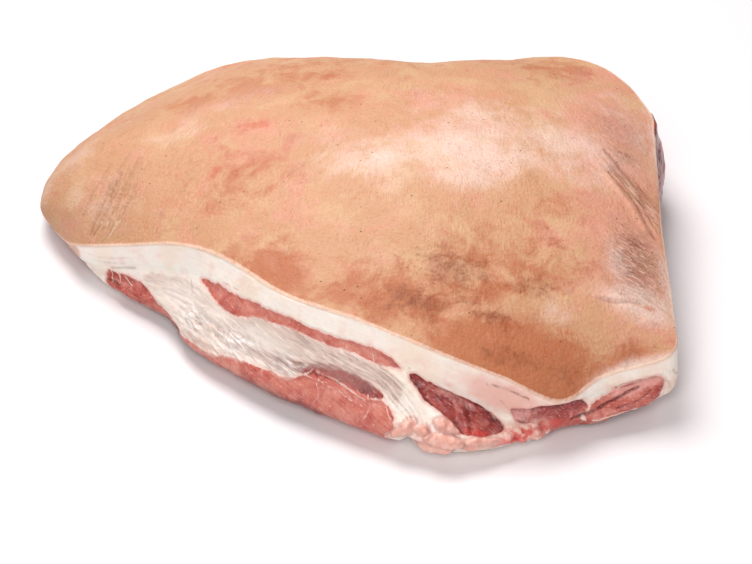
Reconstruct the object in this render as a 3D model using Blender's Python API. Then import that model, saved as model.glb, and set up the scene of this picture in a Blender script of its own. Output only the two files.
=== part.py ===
"""Raw pork shoulder with its skin on: a body of meat under a cap of back fat.

Metres, +Z up.  The joint lies as on a butcher's block, skin side up, on the flat
underside of the meat.  Its long side runs along X, from the narrow shank end at -X
to the square neck end at +X, and its longest cut face looks towards -Y.  The origin
is on the block, under the middle of the joint.
"""
import math

import bmesh
import bpy
import numpy as np

MM = 0.001

# Driving sizes, in millimetres.  The skin is a shallow dome: away from its apex it is
# lower by the square of the distance over the spread, with two swells over the shank.
APEX = (48, 25, 98)
SPREAD = (29, 26)                        # along X and along Y
SWELLS = (
    # name             x     y   reach  height
    ("shank muscle",  -88,  100,  70,   10),
    ("shank end",    -185,   57,  65,   16),
)
CROWN = (20, 20)                         # where the columns of faces meet on top
CROWN_FAT = 15                           # fat under the crown
FAT_ROUNDING = 0.85                      # how much flatter the meat is than the skin
SEAM_GAP = 0.3                           # between fat and meat where they meet at the cut
HIDDEN_GAP = 0.6                         # and how much more there is inside the joint

# The sections round the edge of the skin, counter-clockwise seen from above, each
# with its place, the height of the edge, how far the skin rolls over at it (0 to 1),
# the height of fat that shows under it, and how far the meat bellies out below.
SECTIONS = (
    # name            x     y    edge  roll  fat  belly
    ("shank tip",    -211,   45,  18,  1.0,   6, -18),
    ("skin fold",    -192,   12,  18,  0.8,   7, -15),
    ("shank cut",    -177,   -7,  27,  0.4,  13,  -4),
    ("shank front",  -144,  -25,  42,  0.1,  15,  12),
    ("knuckle",      -107,  -43,  57,  0.0,  18,  21),
    ("loin start",    -76,  -68,  66,  0.0,  15,  30),
    ("loin",          -37, -105,  68,  0.0,  12,  24),
    ("loin end",        9, -129,  68,  0.0,  14,  26),
    ("blade start",    59, -148,  57,  0.1,  19,  31),
    ("thick fat",      93, -156,  46,  0.1,  24,  20),
    ("front corner",  127, -160,  31,  0.1,   5,   0),
    ("neck front",    154, -143,  36,  0.1,  11,   9),
    ("neck corner",   195, -130,  42,  0.1,  12,   3),
    ("neck low",      200,  -97,  48,  0.1,  12,  -4),
    ("neck",          200,  -19,  59,  0.1,  13,   0),
    ("neck high",     204,   57,  67,  0.1,  13,   6),
    ("back corner",   203,   90,  68,  0.1,  13,   6),
    ("back cut",      178,  141,  68,  0.2,  13,   6),
    ("back right",    130,  161,  64,  0.4,  14,   5),
    ("back",           45,  164,  46,  0.5,  13,   5),
    ("back hump",     -70,  174,  52,  0.6,  14,   5),
    ("back left",    -134,  150,  41,  0.7,  13,   2),
    ("back shank",   -181,  119,  27,  0.9,  11,  -6),
    ("shank end",    -206,   84,  18,  1.0,   8, -16),
)

# Levels down the cut face: the skin's edge, the seam of fat and meat, the middle of
# the meat, its belly, the turn under it, and the edge of the flat underside.
LEVELS = 5
SEAM = 1
SEAM_OUT = 0.27                          # share of the belly that the seam stands out
MIDDLE_OUT = 0.72
MIDDLE_HEIGHT = 0.45                     # from the belly up to the seam
BELLY_HEIGHT = 0.24                      # of the height of the skin's edge
BELLY_LIFT = 0.6                         # of the lift at a raised end
TURN_IN = 0.3                            # of the foot's inset, and of the belly's height
FOOT_INSET = 17                          # from the belly in to the underside's edge

# Two ends of the joint are thin and stand clear of the block.
RAISED_ENDS = (
    # name            x     y   reach  lift  further inset
    ("shank end",    -211,   45,  57,    8,  14),
    ("neck corner",   199, -126,  45,    9,   4),
)

# Single muscles and pads of fat stand out from the cut face or sink into it, each at
# its distance along the skin's edge from the shank tip and at its level.
CUT_RELIEF = (
    # name             along  level  length  depth  out
    ("shank hollow",     95,   1.9,    22,   0.6,   -3),
    ("silverskin",      185,   2.1,    45,   0.6,   -2),
    ("loin muscle",     265,   3.2,    65,   0.8,    4),
    ("blade muscle",    352,   1.4,    24,   0.5,   -6),
    ("trimmed fat",     350,   2.6,    42,   0.4,    3),
    ("corner muscle",   400,   1.5,    16,   0.7,   -2),
    ("neck muscle",     455,   2.0,    25,   0.7,    3),
    ("back muscle",     690,   2.2,    40,   0.8,    4),
)

# Steps round the outline, and down each surface.
COLUMNS = 104
SKIN_RINGS = 12
FAT_RINGS = 2
HIDDEN_RINGS = 7
CUT_RINGS = 9
UNDERSIDE = (0.8, 0.55, 0.25)            # rings of the flat underside, as shares of its size
EDGE_POWER = 5                           # how late the skin bends down to its edge


def read_curve(rows, places):
    """Read a closed Catmull-Rom curve through the rows, at places counted in rows."""
    first = np.floor(places).astype(int)
    t = (places - first)[:, None]
    a, b, c, d = (rows[(first + step) % len(rows)] for step in (-1, 0, 1, 2))
    return 0.5 * (2 * b + (c - a) * t + (2 * a - 5 * b + 4 * c - d) * t**2 + (3 * b - a - 3 * c + d) * t**3)


def outline():
    """The sections at even steps round the joint, with the distance along as a last column."""
    rows = np.array([section[1:] for section in SECTIONS], float)
    places = np.linspace(0, len(rows), 60 * len(rows) + 1)
    fine = read_curve(rows, places)
    lengths = np.linalg.norm(np.diff(fine[:, :2], axis=0), axis=1)
    walked = np.concatenate(([0], np.cumsum(lengths)))
    even = np.linspace(0, walked[-1], COLUMNS, endpoint=False)
    return np.column_stack([read_curve(rows, np.interp(even, walked, places) % len(rows)), even])


def outward(edge):
    """Level directions that point straight out of the outline."""
    along = np.roll(edge, -1, axis=0) - np.roll(edge, 1, axis=0)
    along /= np.linalg.norm(along[:, :2], axis=1)[:, None]
    return np.column_stack([along[:, 1], -along[:, 0], np.zeros(len(edge))])


def nearness(x, y, place, reach):
    """1 at a place seen from above, and falling to nothing past its reach."""
    return np.exp(-((x - place[0])**2 + (y - place[1])**2) / reach**2)


def skin_height(x, y):
    """The height of the skin's dome and its swells."""
    height = APEX[2] - ((x - APEX[0]) / SPREAD[0])**2 - ((y - APEX[1]) / SPREAD[1])**2
    for _, swell_x, swell_y, reach, rise in SWELLS:
        height = height + rise * nearness(x, y, (swell_x, swell_y), reach)
    return height


def skin_ring(sizes, share):
    """A ring of the skin at a share of the way from the crown to its edge."""
    edge, roll = sizes[:, :3], sizes[:, 3:4]
    out = share * (1 + roll) - roll * share**2
    ring = CROWN + (edge[:, :2] - CROWN) * out
    miss = edge[:, 2] - skin_height(edge[:, 0], edge[:, 1])
    return np.column_stack([ring, skin_height(ring[:, 0], ring[:, 1]) + miss * share**EDGE_POWER])


def hidden_ring(seam, share, gap):
    """A ring of the face between fat and meat, which ends at the seam."""
    ring = CROWN + (seam[:, :2] - CROWN) * share
    top = skin_height(*CROWN) - CROWN_FAT
    dome = top - FAT_ROUNDING * (skin_height(*CROWN) - skin_height(ring[:, 0], ring[:, 1]))
    end = top - FAT_ROUNDING * (skin_height(*CROWN) - skin_height(seam[:, 0], seam[:, 1]))
    return np.column_stack([ring, dome + (seam[:, 2] - end) * share**EDGE_POWER - gap])


def cut_ring(sizes, level):
    """A ring of the cut face at a level, read between the named levels."""
    edge, fat, belly, along = sizes[:, :3], sizes[:, 4], sizes[:, 5], sizes[:, 6]
    lift = np.zeros(len(sizes))
    inset = np.full(len(sizes), float(FOOT_INSET))
    for _, x, y, reach, raised, further in RAISED_ENDS:
        near = nearness(edge[:, 0], edge[:, 1], (x, y), reach)
        lift += raised * near
        inset += further * near
    seam = edge[:, 2] - fat
    low = BELLY_HEIGHT * edge[:, 2] + BELLY_LIFT * lift
    middle = low + MIDDLE_HEIGHT * (seam - low)
    turn = lift + TURN_IN * (low - lift)
    heights = np.array([edge[:, 2], seam, middle, low, turn, lift])
    outs = np.array([0 * belly, SEAM_OUT * belly, MIDDLE_OUT * belly, belly, belly - TURN_IN * inset, belly - inset])

    first = min(int(level), LEVELS - 1)
    t = level - first
    weights = 0.5 * np.array([-t + 2 * t**2 - t**3, 2 - 5 * t**2 + 3 * t**3, t + 4 * t**2 - 3 * t**3, t**3 - t**2])
    rows = np.clip(np.arange(first - 1, first + 3), 0, LEVELS)
    out = weights @ outs[rows]
    for _, place, depth, length, height, rise in CUT_RELIEF:
        out += rise * np.exp(-((along - place) / length)**2 - ((level - depth) / height)**2)
    ring = edge + outward(edge) * out[:, None]
    ring[:, 2] = weights @ heights[rows]
    return ring


def shares(rings):
    """Ring places between a pole and an edge, closer together near the edge."""
    return [math.sin(math.pi / 2 * ring / rings) for ring in range(1, rings)]


def fat_cap_rings(sizes):
    """Skin from the crown to its edge, the cut fat, and the face on the meat."""
    rings = [skin_ring(sizes, share) for share in shares(SKIN_RINGS)]
    rings += [cut_ring(sizes, SEAM * step / FAT_RINGS) for step in range(FAT_RINGS + 1)]
    seam = rings[-1]
    return rings + [hidden_ring(seam, share, 0) for share in reversed(shares(HIDDEN_RINGS))]


def lean_rings(sizes):
    """The face under the fat, the cut meat, and the flat underside."""
    seam = cut_ring(sizes, SEAM)
    rings = [hidden_ring(seam, share, SEAM_GAP + HIDDEN_GAP) for share in shares(HIDDEN_RINGS)]
    rings.append(seam - (0, 0, SEAM_GAP))
    rings += [cut_ring(sizes, SEAM + (LEVELS - SEAM) * step / CUT_RINGS) for step in range(1, CUT_RINGS + 1)]
    foot = rings[-1]
    for share in UNDERSIDE:
        flat = CROWN + (foot[:, :2] - CROWN) * share
        rings.append(np.column_stack([flat, np.zeros(COLUMNS)]))
    return rings


def moulded(name, top, rings, bottom, middle, covered):
    """A ball with its rings moved to the given ones, top to bottom.

    Its first material covers it down to the numbered ring, and its second the rest.
    """
    mesh = bpy.data.meshes.new(name)
    ball = bmesh.new()
    bands = len(rings) + 1
    bmesh.ops.create_uvsphere(ball, u_segments=COLUMNS, v_segments=bands, radius=1)
    ring_of = {vert: round(math.acos(max(-1, min(1, vert.co.z))) / math.pi * bands) for vert in ball.verts}
    for face in ball.faces:
        face.material_index = int(max(ring_of[vert] for vert in face.verts) > covered)
    for vert, ring in ring_of.items():
        turn = math.atan2(vert.co.y, vert.co.x) / math.tau
        if ring == 0:
            place = top
        elif ring == bands:
            place = bottom
        else:
            place = rings[ring - 1][round(turn * COLUMNS) % COLUMNS]
        vert.co = (np.array(place) - middle) * MM
    ball.to_mesh(mesh)
    ball.free()
    return mesh


def material(name, colour, roughness):
    """A moist surface of one colour."""
    made = bpy.data.materials.new(name)
    made.use_nodes = True
    shader = made.node_tree.nodes["Principled BSDF"]
    shader.inputs["Base Color"].default_value = (*colour, 1)
    shader.inputs["Roughness"].default_value = roughness
    shader.inputs["Metallic"].default_value = 0
    return made


def place_part(collection, mesh, materials):
    """Put a mesh in the scene as one named part with its materials."""
    part = bpy.data.objects.new(mesh.name, mesh)
    for made in materials:
        mesh.materials.append(made)
    mesh.shade_smooth()
    mesh.set_sharp_from_angle(angle=math.radians(50))
    collection.objects.link(part)


def build():
    """Make the two parts round the middle of their common box."""
    for old in list(bpy.data.objects):
        bpy.data.objects.remove(old, do_unlink=True)
    collection = bpy.data.collections.new("pork_shoulder")
    bpy.context.scene.collection.children.link(collection)

    sizes = outline()
    cap = fat_cap_rings(sizes)
    meat = lean_rings(sizes)
    points = np.concatenate(cap + meat)
    middle = (points.min(axis=0) + points.max(axis=0)) / 2
    middle[2] = 0

    rind = material("rind", (0.80, 0.47, 0.29), 0.45)
    fat = material("fat", (0.90, 0.78, 0.68), 0.40)
    lean = material("lean", (0.55, 0.14, 0.13), 0.35)

    top = skin_height(*CROWN)
    under_fat = top - CROWN_FAT
    over_meat = under_fat - SEAM_GAP - HIDDEN_GAP
    cap_mesh = moulded("fat_cap", (*CROWN, top), cap, (*CROWN, under_fat), middle, SKIN_RINGS)
    meat_mesh = moulded("lean", (*CROWN, over_meat), meat, (*CROWN, 0), middle, len(meat) + 1)
    place_part(collection, cap_mesh, (rind, fat))
    place_part(collection, meat_mesh, (lean,))


build()
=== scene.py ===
# %% [markdown]
# # A raw pork shoulder, skin side up
#
# The joint is a thick slab of meat under a cap of back fat, and the fat is covered by
# tan rind. It was cut free with a knife all round, so its sides show what it is made
# of: rind, white fat, and several muscles with silverskin and trimmed fat between them.
# This lesson builds those looks around a plain model of the joint that already exists.
# We read that model first, because every size below has to agree with it.

# %% Read the plain model
import itertools
import math

import bpy
import numpy as np
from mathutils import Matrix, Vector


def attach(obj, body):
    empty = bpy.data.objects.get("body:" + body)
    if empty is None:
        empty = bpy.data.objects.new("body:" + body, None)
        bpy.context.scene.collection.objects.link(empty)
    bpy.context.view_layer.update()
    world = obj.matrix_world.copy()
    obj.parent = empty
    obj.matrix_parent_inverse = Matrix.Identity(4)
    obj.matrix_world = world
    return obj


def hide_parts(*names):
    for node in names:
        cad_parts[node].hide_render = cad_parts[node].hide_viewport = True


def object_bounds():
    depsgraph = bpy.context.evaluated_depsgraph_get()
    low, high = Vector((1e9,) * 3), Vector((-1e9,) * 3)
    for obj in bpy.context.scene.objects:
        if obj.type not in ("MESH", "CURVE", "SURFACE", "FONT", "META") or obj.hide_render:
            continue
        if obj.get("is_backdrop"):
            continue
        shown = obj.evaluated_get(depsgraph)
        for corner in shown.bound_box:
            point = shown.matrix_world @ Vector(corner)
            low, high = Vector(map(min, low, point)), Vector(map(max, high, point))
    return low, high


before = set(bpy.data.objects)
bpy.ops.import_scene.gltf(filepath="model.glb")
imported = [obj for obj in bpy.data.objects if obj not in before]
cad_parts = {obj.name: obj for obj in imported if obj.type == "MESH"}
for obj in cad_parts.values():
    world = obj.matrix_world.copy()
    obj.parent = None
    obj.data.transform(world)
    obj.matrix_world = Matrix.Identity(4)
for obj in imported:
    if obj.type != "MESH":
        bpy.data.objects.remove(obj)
MM = 0.001
cad_box = [list(corner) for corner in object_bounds()]
print("the plain model's box, mm:", [[round(v / MM, 1) for v in corner] for corner in cad_box])

# %% [markdown]
# ## The camera
#
# A joint of meat is usually shown from above at about forty degrees, which shows the
# skin and the cut side at once. A long lens from a little over a metre keeps the near
# corner from looking swollen. We aim it by turning its back axis towards the aim.

# %% Place the camera
ELEVATION = math.radians(40)
DISTANCE = 1.1875
AIM = np.array((0.01615, -0.05725, 0.038))
LENS = 90
camera = bpy.data.objects.new("camera", bpy.data.cameras.new("camera"))
camera.data.lens = LENS
camera.location = AIM + DISTANCE * np.array((0, -math.cos(ELEVATION), math.sin(ELEVATION)))
camera.rotation_euler = (math.pi / 2 - ELEVATION, 0, 0)
bpy.context.scene.collection.objects.link(camera)
bpy.context.scene.camera = camera
print("camera at", [round(v, 3) for v in camera.location])

# %% [markdown]
# ## The form of the joint
#
# A joint could be sculpted by hand, but then it would not match the plain model. Its
# form follows a rule instead: a list of sections round the edge of the skin says how
# high the edge is, how far the skin rolls over it, how much fat shows under it and how
# far the meat bellies out below. The skin itself is a shallow dome with two swells. We
# repeat that rule here in millimetres, and read it at many more places.

# %% The sizes that the form follows
APEX = (48, 25, 98)
SPREAD = (29, 26)
SWELLS = (
    # x     y  reach  height
    (-88, 100, 70, 10),
    (-185, 57, 65, 16),
)
CROWN = np.array((20, 20))
CROWN_FAT = 15
FAT_ROUNDING = 0.85
SECTIONS = np.array((
    # x     y   edge roll  fat belly
    (-211, 45, 18, 1.0, 6, -18),
    (-192, 12, 18, 0.8, 7, -15),
    (-177, -7, 27, 0.4, 13, -4),
    (-144, -25, 42, 0.1, 15, 12),
    (-107, -43, 57, 0.0, 18, 21),
    (-76, -68, 66, 0.0, 15, 30),
    (-37, -105, 68, 0.0, 12, 24),
    (9, -129, 68, 0.0, 14, 26),
    (59, -148, 57, 0.1, 19, 31),
    (93, -156, 46, 0.1, 24, 20),
    (127, -160, 31, 0.1, 5, 0),
    (154, -143, 36, 0.1, 11, 9),
    (195, -130, 42, 0.1, 12, 3),
    (200, -97, 48, 0.1, 12, -4),
    (200, -19, 59, 0.1, 13, 0),
    (204, 57, 67, 0.1, 13, 6),
    (203, 90, 68, 0.1, 13, 6),
    (178, 141, 68, 0.2, 13, 6),
    (130, 161, 64, 0.4, 14, 5),
    (45, 164, 46, 0.5, 13, 5),
    (-70, 174, 52, 0.6, 14, 5),
    (-134, 150, 41, 0.7, 13, 2),
    (-181, 119, 27, 0.9, 11, -6),
    (-206, 84, 18, 1.0, 8, -16),
), float)
LEVELS = 5
SEAM_OUT = 0.27
MIDDLE_OUT = 0.72
MIDDLE_HEIGHT = 0.45
BELLY_HEIGHT = 0.24
BELLY_LIFT = 0.6
TURN_IN = 0.3
FOOT_INSET = 17
RAISED_ENDS = (
    # x     y  reach lift further inset
    (-211, 45, 57, 8, 14),
    (199, -126, 45, 9, 4),
)
SWELLS_OF_CUT = (
    # along level length depth out
    (95, 1.9, 22, 0.6, -3),
    (185, 2.1, 45, 0.6, -2),
    (265, 3.2, 65, 0.8, 4),
    (352, 1.4, 24, 0.5, -6),
    (350, 2.6, 42, 0.4, 3),
    (400, 1.5, 16, 0.7, -2),
    (455, 2.0, 25, 0.7, 3),
    (690, 2.2, 40, 0.8, 4),
)
EDGE_POWER = 5
NORMAL_STEPS = 104
FOUR_ROWS = (-1, 0, 1, 2)

# %% [markdown]
# The edge is one smooth closed curve through the sections. We walk along it once and
# keep the distance walked, so that any place on the edge can be asked for by how many
# millimetres it lies from the tip of the shank.

# %% Walk round the edge of the skin
def curve_weights(t):
    """How much four rows in turn count for a smooth curve between the middle two."""
    return 0.5 * np.stack([
        -t + 2 * t**2 - t**3, 2 - 5 * t**2 + 3 * t**3, t + 4 * t**2 - 3 * t**3, t**3 - t**2])


def read_curve(rows, places):
    """Read a closed smooth curve through the rows, at places counted in rows."""
    first = np.floor(places).astype(int)
    nearby = np.stack([rows[(first + step) % len(rows)] for step in FOUR_ROWS])
    return (curve_weights(places - first)[..., None] * nearby).sum(0)


walk_places = np.linspace(0, len(SECTIONS), 60 * len(SECTIONS) + 1)
walk = read_curve(SECTIONS, walk_places)
walked = np.concatenate(([0], np.cumsum(np.linalg.norm(np.diff(walk[:, :2], axis=0), axis=1))))
ROUND = walked[-1]


def edge_at(along):
    """The section's sizes at distances along the edge of the skin."""
    return read_curve(SECTIONS, np.interp(along % ROUND, walked, walk_places) % len(SECTIONS))


def outward(along):
    """Level directions that point straight out of the outline."""
    step = ROUND / NORMAL_STEPS
    ahead = (edge_at(along + step) - edge_at(along - step))[..., :2]
    ahead /= np.linalg.norm(ahead, axis=-1, keepdims=True)
    return np.stack([ahead[..., 1], -ahead[..., 0], np.zeros(ahead.shape[:-1])], -1)


print("the edge of the skin is", round(ROUND), "mm long")

# %% The skin's dome, the cut face, and the face between fat and meat
def nearness(x, y, place, reach):
    """1 at a place seen from above, and falling to nothing past its reach."""
    return np.exp(-((x - place[0])**2 + (y - place[1])**2) / reach**2)


def spot_on_cut(along, level, place, depth, length, height, power=2):
    """1 at a place on the cut face, and falling to nothing past its half sizes."""
    return np.exp(-((along - place) / length)**power - ((level - depth) / height)**power)


def skin_height(x, y):
    """The height of the skin's dome and its swells."""
    height = APEX[2] - ((x - APEX[0]) / SPREAD[0])**2 - ((y - APEX[1]) / SPREAD[1])**2
    for swell_x, swell_y, reach, rise in SWELLS:
        height = height + rise * nearness(x, y, (swell_x, swell_y), reach)
    return height


CROWN_HEIGHT = skin_height(*CROWN)


def skin(along, share):
    """Points of the skin, at a share of the way from the crown to the edge."""
    sizes = edge_at(along)
    roll = sizes[..., 3]
    out = share * (1 + roll) - roll * share**2
    flat = CROWN + (sizes[..., :2] - CROWN) * out[..., None]
    miss = sizes[..., 2] - skin_height(sizes[..., 0], sizes[..., 1])
    height = skin_height(flat[..., 0], flat[..., 1]) + miss * share**EDGE_POWER
    return np.concatenate([flat, height[..., None]], -1)


def cut_face(along, level):
    """Points of the cut face: level 0 is the skin's edge, 1 the seam, 5 the foot."""
    along, level = np.broadcast_arrays(np.asarray(along, float), np.asarray(level, float))
    sizes = edge_at(along)
    top, fat, belly = sizes[..., 2], sizes[..., 4], sizes[..., 5]
    lift = np.zeros(along.shape)
    inset = np.full(along.shape, float(FOOT_INSET))
    for x, y, reach, raised, further in RAISED_ENDS:
        near = nearness(sizes[..., 0], sizes[..., 1], (x, y), reach)
        lift += raised * near
        inset += further * near
    seam = top - fat
    low = BELLY_HEIGHT * top + BELLY_LIFT * lift
    middle = low + MIDDLE_HEIGHT * (seam - low)
    turn = lift + TURN_IN * (low - lift)
    heights = np.stack([top, seam, middle, low, turn, lift])
    outs = np.stack([
        0 * belly, SEAM_OUT * belly, MIDDLE_OUT * belly, belly, belly - TURN_IN * inset, belly - inset])

    first = np.clip(level.astype(int), 0, LEVELS - 1)
    weights = curve_weights(level - first)
    rows = np.clip(np.stack([first + step for step in FOUR_ROWS]), 0, LEVELS)
    out = (weights * np.take_along_axis(outs, rows, 0)).sum(0)
    for *size, rise in SWELLS_OF_CUT:
        out = out + rise * spot_on_cut(along, level, *size)
    points = sizes[..., :3] + outward(along) * out[..., None]
    points[..., 2] = (weights * np.take_along_axis(heights, rows, 0)).sum(0)
    return points


def under_fat(seam, share):
    """The hidden dome between fat and meat, which ends at the seam."""
    flat = CROWN + (seam[..., :2] - CROWN) * share
    top = CROWN_HEIGHT - CROWN_FAT
    dome = top - FAT_ROUNDING * (CROWN_HEIGHT - skin_height(flat[..., 0], flat[..., 1]))
    end = top - FAT_ROUNDING * (CROWN_HEIGHT - skin_height(seam[..., 0], seam[..., 1]))
    height = dome + (seam[..., 2] - end) * share**EDGE_POWER
    return np.concatenate([flat, height[..., None]], -1)


RULER_STEP = 2
ROWS_PER_LEVEL = 10
probe_levels = np.linspace(0, LEVELS, LEVELS * ROWS_PER_LEVEL + 1)
probe = cut_face(np.arange(0, ROUND, RULER_STEP)[None], probe_levels[:, None])
MIDDLE = np.append((probe.reshape(-1, 3).min(0) + probe.reshape(-1, 3).max(0))[:2] / 2, 0)
print("the form's own middle, mm:", MIDDLE.round(2), "and its size:", np.ptp(probe, axis=(0, 1)).round(1))

# %% [markdown]
# On the cut face it helps to have a plain ruler as well: how many millimetres below the
# edge of the skin a level lies, measured down the face. We measure it once on a coarse
# grid and look it up afterwards.

# %% A ruler down the cut face
ruler = np.zeros(probe.shape[:2])
ruler[1:] = np.cumsum(np.linalg.norm(np.diff(probe, axis=0), axis=-1), axis=0)


def drop(along, level):
    """Millimetres down the cut face from the edge of the skin to a level."""
    column = (np.asarray(along, float) % ROUND) / RULER_STEP
    row = np.clip(np.asarray(level, float) * ROWS_PER_LEVEL, 0, len(ruler) - 1.001)
    c, r = np.floor(column).astype(int), np.floor(row).astype(int)
    u, v = column - c, row - r
    c, d = c % ruler.shape[1], (c + 1) % ruler.shape[1]
    upper = ruler[r, c] * (1 - u) + ruler[r, d] * u
    lower = ruler[r + 1, c] * (1 - u) + ruler[r + 1, d] * u
    return upper * (1 - v) + lower * v


print("the face is", drop(265, 5).round(), "mm tall at the loin and", drop(15, 5).round(), "at the shank")

# %% [markdown]
# ## Random relief that is the same every time
#
# Flesh is uneven at every scale. Blender has textures for that, but the meshes have to
# carry the shape themselves, so we move their points with a small noise of our own: a
# lattice of hashed numbers with a smooth blend between them. It has no state, so the
# joint comes out the same each time.

# %% Lattice noise
PRIMES = np.array((73856093, 19349663, 83492791), np.int64)
SEED_PRIME = 668265263
MIX_PRIME = 1274126177


def lattice(places, seed):
    """Smooth random numbers from -1 to 1, one bump for each unit of distance."""
    cell = np.floor(places).astype(np.int64)
    t = places - cell
    t = t**3 * (t * (t * 6 - 15) + 10)
    total = np.zeros(places.shape[:-1])
    for corner in itertools.product((0, 1), repeat=places.shape[-1]):
        mixed = ((cell + corner) * PRIMES[:places.shape[-1]]).sum(-1) + seed * SEED_PRIME
        mixed = (mixed ^ (mixed >> 13)) * MIX_PRIME
        mixed = (mixed ^ (mixed >> 16)) & 0xffff
        total += np.prod(np.where(corner, t, 1 - t), axis=-1) * (mixed / 32767.5 - 1)
    return total


def uneven(places, size, seed, octaves=2):
    """Lattice noise of bumps about one size in millimetres, with finer bumps on them."""
    places = np.asarray(places, float)
    return sum(lattice(places / size * 2**n, seed + n) * 0.5**n for n in range(octaves))


def rough(places, *layers):
    """Layers of noise added up, each with a height, a size in millimetres and a seed."""
    return sum(height * uneven(places, size, seed) for height, size, seed in layers)


def smooth(value, low, high):
    """0 below low, 1 above high, and a soft step between."""
    t = np.clip((value - low) / (high - low), 0, 1)
    return t * t * (3 - 2 * t)


trial = lattice(np.random.default_rng(1).uniform(0, 99, (9999, 3)), 5)
print("noise between", trial.min().round(2), "and", trial.max().round(2))

# %% [markdown]
# ## What shows in the cut
#
# Butchers read a cut face like a map: here the loin, there the blade muscle, between
# them silverskin. We draw the same map. Each area is a closed outline of a few corners,
# each one a distance along the edge of the skin and a level down the face. From it we
# compute how far inside the outline every point of the mesh lies, in millimetres. That
# number is worth more than a plain yes or no: the shape uses it to sink or swell an
# area with soft shoulders, and the material uses it to break up the boundary finely.

# %% Outlines of the muscles
MUSCLES = {
    # name: darkness, how much of it is lost with each level down, how far it stands out in mm, corners
    "strip": (0.14, 0.0, -0.6, (
        (167, 1.04), (187, 1.05), (202, 1.08), (220, 1.01), (243, 0.98), (262, 1.05), (281, 1.0),
        (301, 0.86), (312, 0.95), (315, 1.08), (300, 1.26), (284, 1.25), (269, 1.34), (247, 1.26),
        (223, 1.36), (204, 1.62), (194, 1.6), (184, 1.46), (174, 1.24))),
    "shank": (0.29, 0.0, -1.2, (
        (85, 1.98), (93, 1.8), (101, 1.74), (108, 1.76), (115, 1.86), (123, 2.14), (131, 2.52), (145, 2.84),
        (162, 3.06), (164, 3.4), (146, 3.9), (128, 4.4), (104, 4.4), (90, 3.4))),
    "loin": (0.24, -0.02, 1.0, (
        (170, 3.15), (190, 3.02), (203, 2.86), (212, 2.72), (225, 2.58), (252, 2.44), (258, 2.26),
        (266, 2.1), (285, 2.08), (303, 2.12), (310, 2.05), (317, 2.3), (319, 2.8), (314, 3.3), (318, 4.3),
        (300, 5.4), (160, 5.4), (158, 3.6))),
    "under the film": (0.62, 0.0, -0.3, (
        (246, 2.12), (262, 1.86), (274, 1.72), (291, 1.7), (301, 1.76), (309, 1.92), (306, 2.06),
        (297, 2.16), (284, 2.12), (262, 2.2))),
    "blade": (0.68, 0.16, -2.2, (
        (321, 1.12), (327, 1.0), (334, 1.1), (348, 1.18), (358, 1.12), (367, 1.18), (374, 1.38), (379, 1.7),
        (378, 2.05), (371, 2.22), (361, 2.24), (353, 2.14), (349, 1.92), (343, 1.8), (333, 1.64),
        (326, 1.42))),
    "corner": (0.82, 0.2, -0.8, (
        (381, 0.86), (392, 0.8), (403, 0.68), (416, 0.76), (427, 1.05), (429, 1.7), (424, 2.4), (428, 3.2),
        (430, 5.4), (404, 5.4), (404, 3.0), (402, 2.3), (394, 1.9), (385, 1.5))),
    "neck": (0.26, -0.12, 0.8, (
        (424, 1.7), (432, 1.36), (443, 1.12), (456, 0.88), (468, 0.84), (477, 0.96), (479, 1.6), (476, 2.4),
        (474, 3.4), (480, 5.4), (426, 5.4), (427, 2.6))),
    "side": (0.86, 0.22, 0.8, (
        (650, 1.05), (662, 0.8), (670, 0.42), (682, 0.16), (698, 0.14), (710, 0.4), (722, 0.8), (734, 1.1),
        (722, 1.8), (694, 2.2), (664, 1.9))),
}
print(len(MUSCLES), "muscles drawn by hand")

# %% [markdown]
# Silverskin lies over the muscles as thin sheets, so its outlines are kept apart. Where
# the colour only changes softly, as under a film of fat or where blood has dried, no
# outline is needed: a soft spot with a half length and a half height is enough. A few
# soft spots paint light and shade instead: sheen in the film over the blade's top, shade
# under the rounded fat at the shank end, and a shadow at the foot of the face. The
# nubs are the blunt ends of fat that a knife leaves when it trims the face.

# %% Silverskin, soft changes of colour, and nubs of trimmed fat
MEMBRANES = (
    ((118, 1.55), (140, 1.35), (157, 1.28), (172, 1.36), (186, 1.58), (200, 1.72), (213, 1.55), (228, 1.4),
     (248, 1.34), (270, 1.4), (292, 1.34), (308, 1.3), (318, 1.5), (318, 1.9), (308, 1.84), (298, 1.76),
     (284, 1.72), (270, 1.82), (260, 1.98), (256, 2.2), (250, 2.42), (232, 2.5), (212, 2.68), (198, 3.0),
     (176, 2.92), (158, 2.86), (146, 2.6), (130, 2.3)),
    ((566, 1.3), (584, 1.1), (606, 1.2), (616, 1.6), (604, 2.1), (582, 2.3), (566, 2.0)),
    ((766, 1.4), (800, 1.2), (838, 1.5), (826, 2.0), (794, 2.1), (772, 1.9)),
    ((950, 1.6), (985, 1.2), (1030, 1.3), (1044, 1.9), (1000, 2.4), (962, 2.3)),
)
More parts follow.
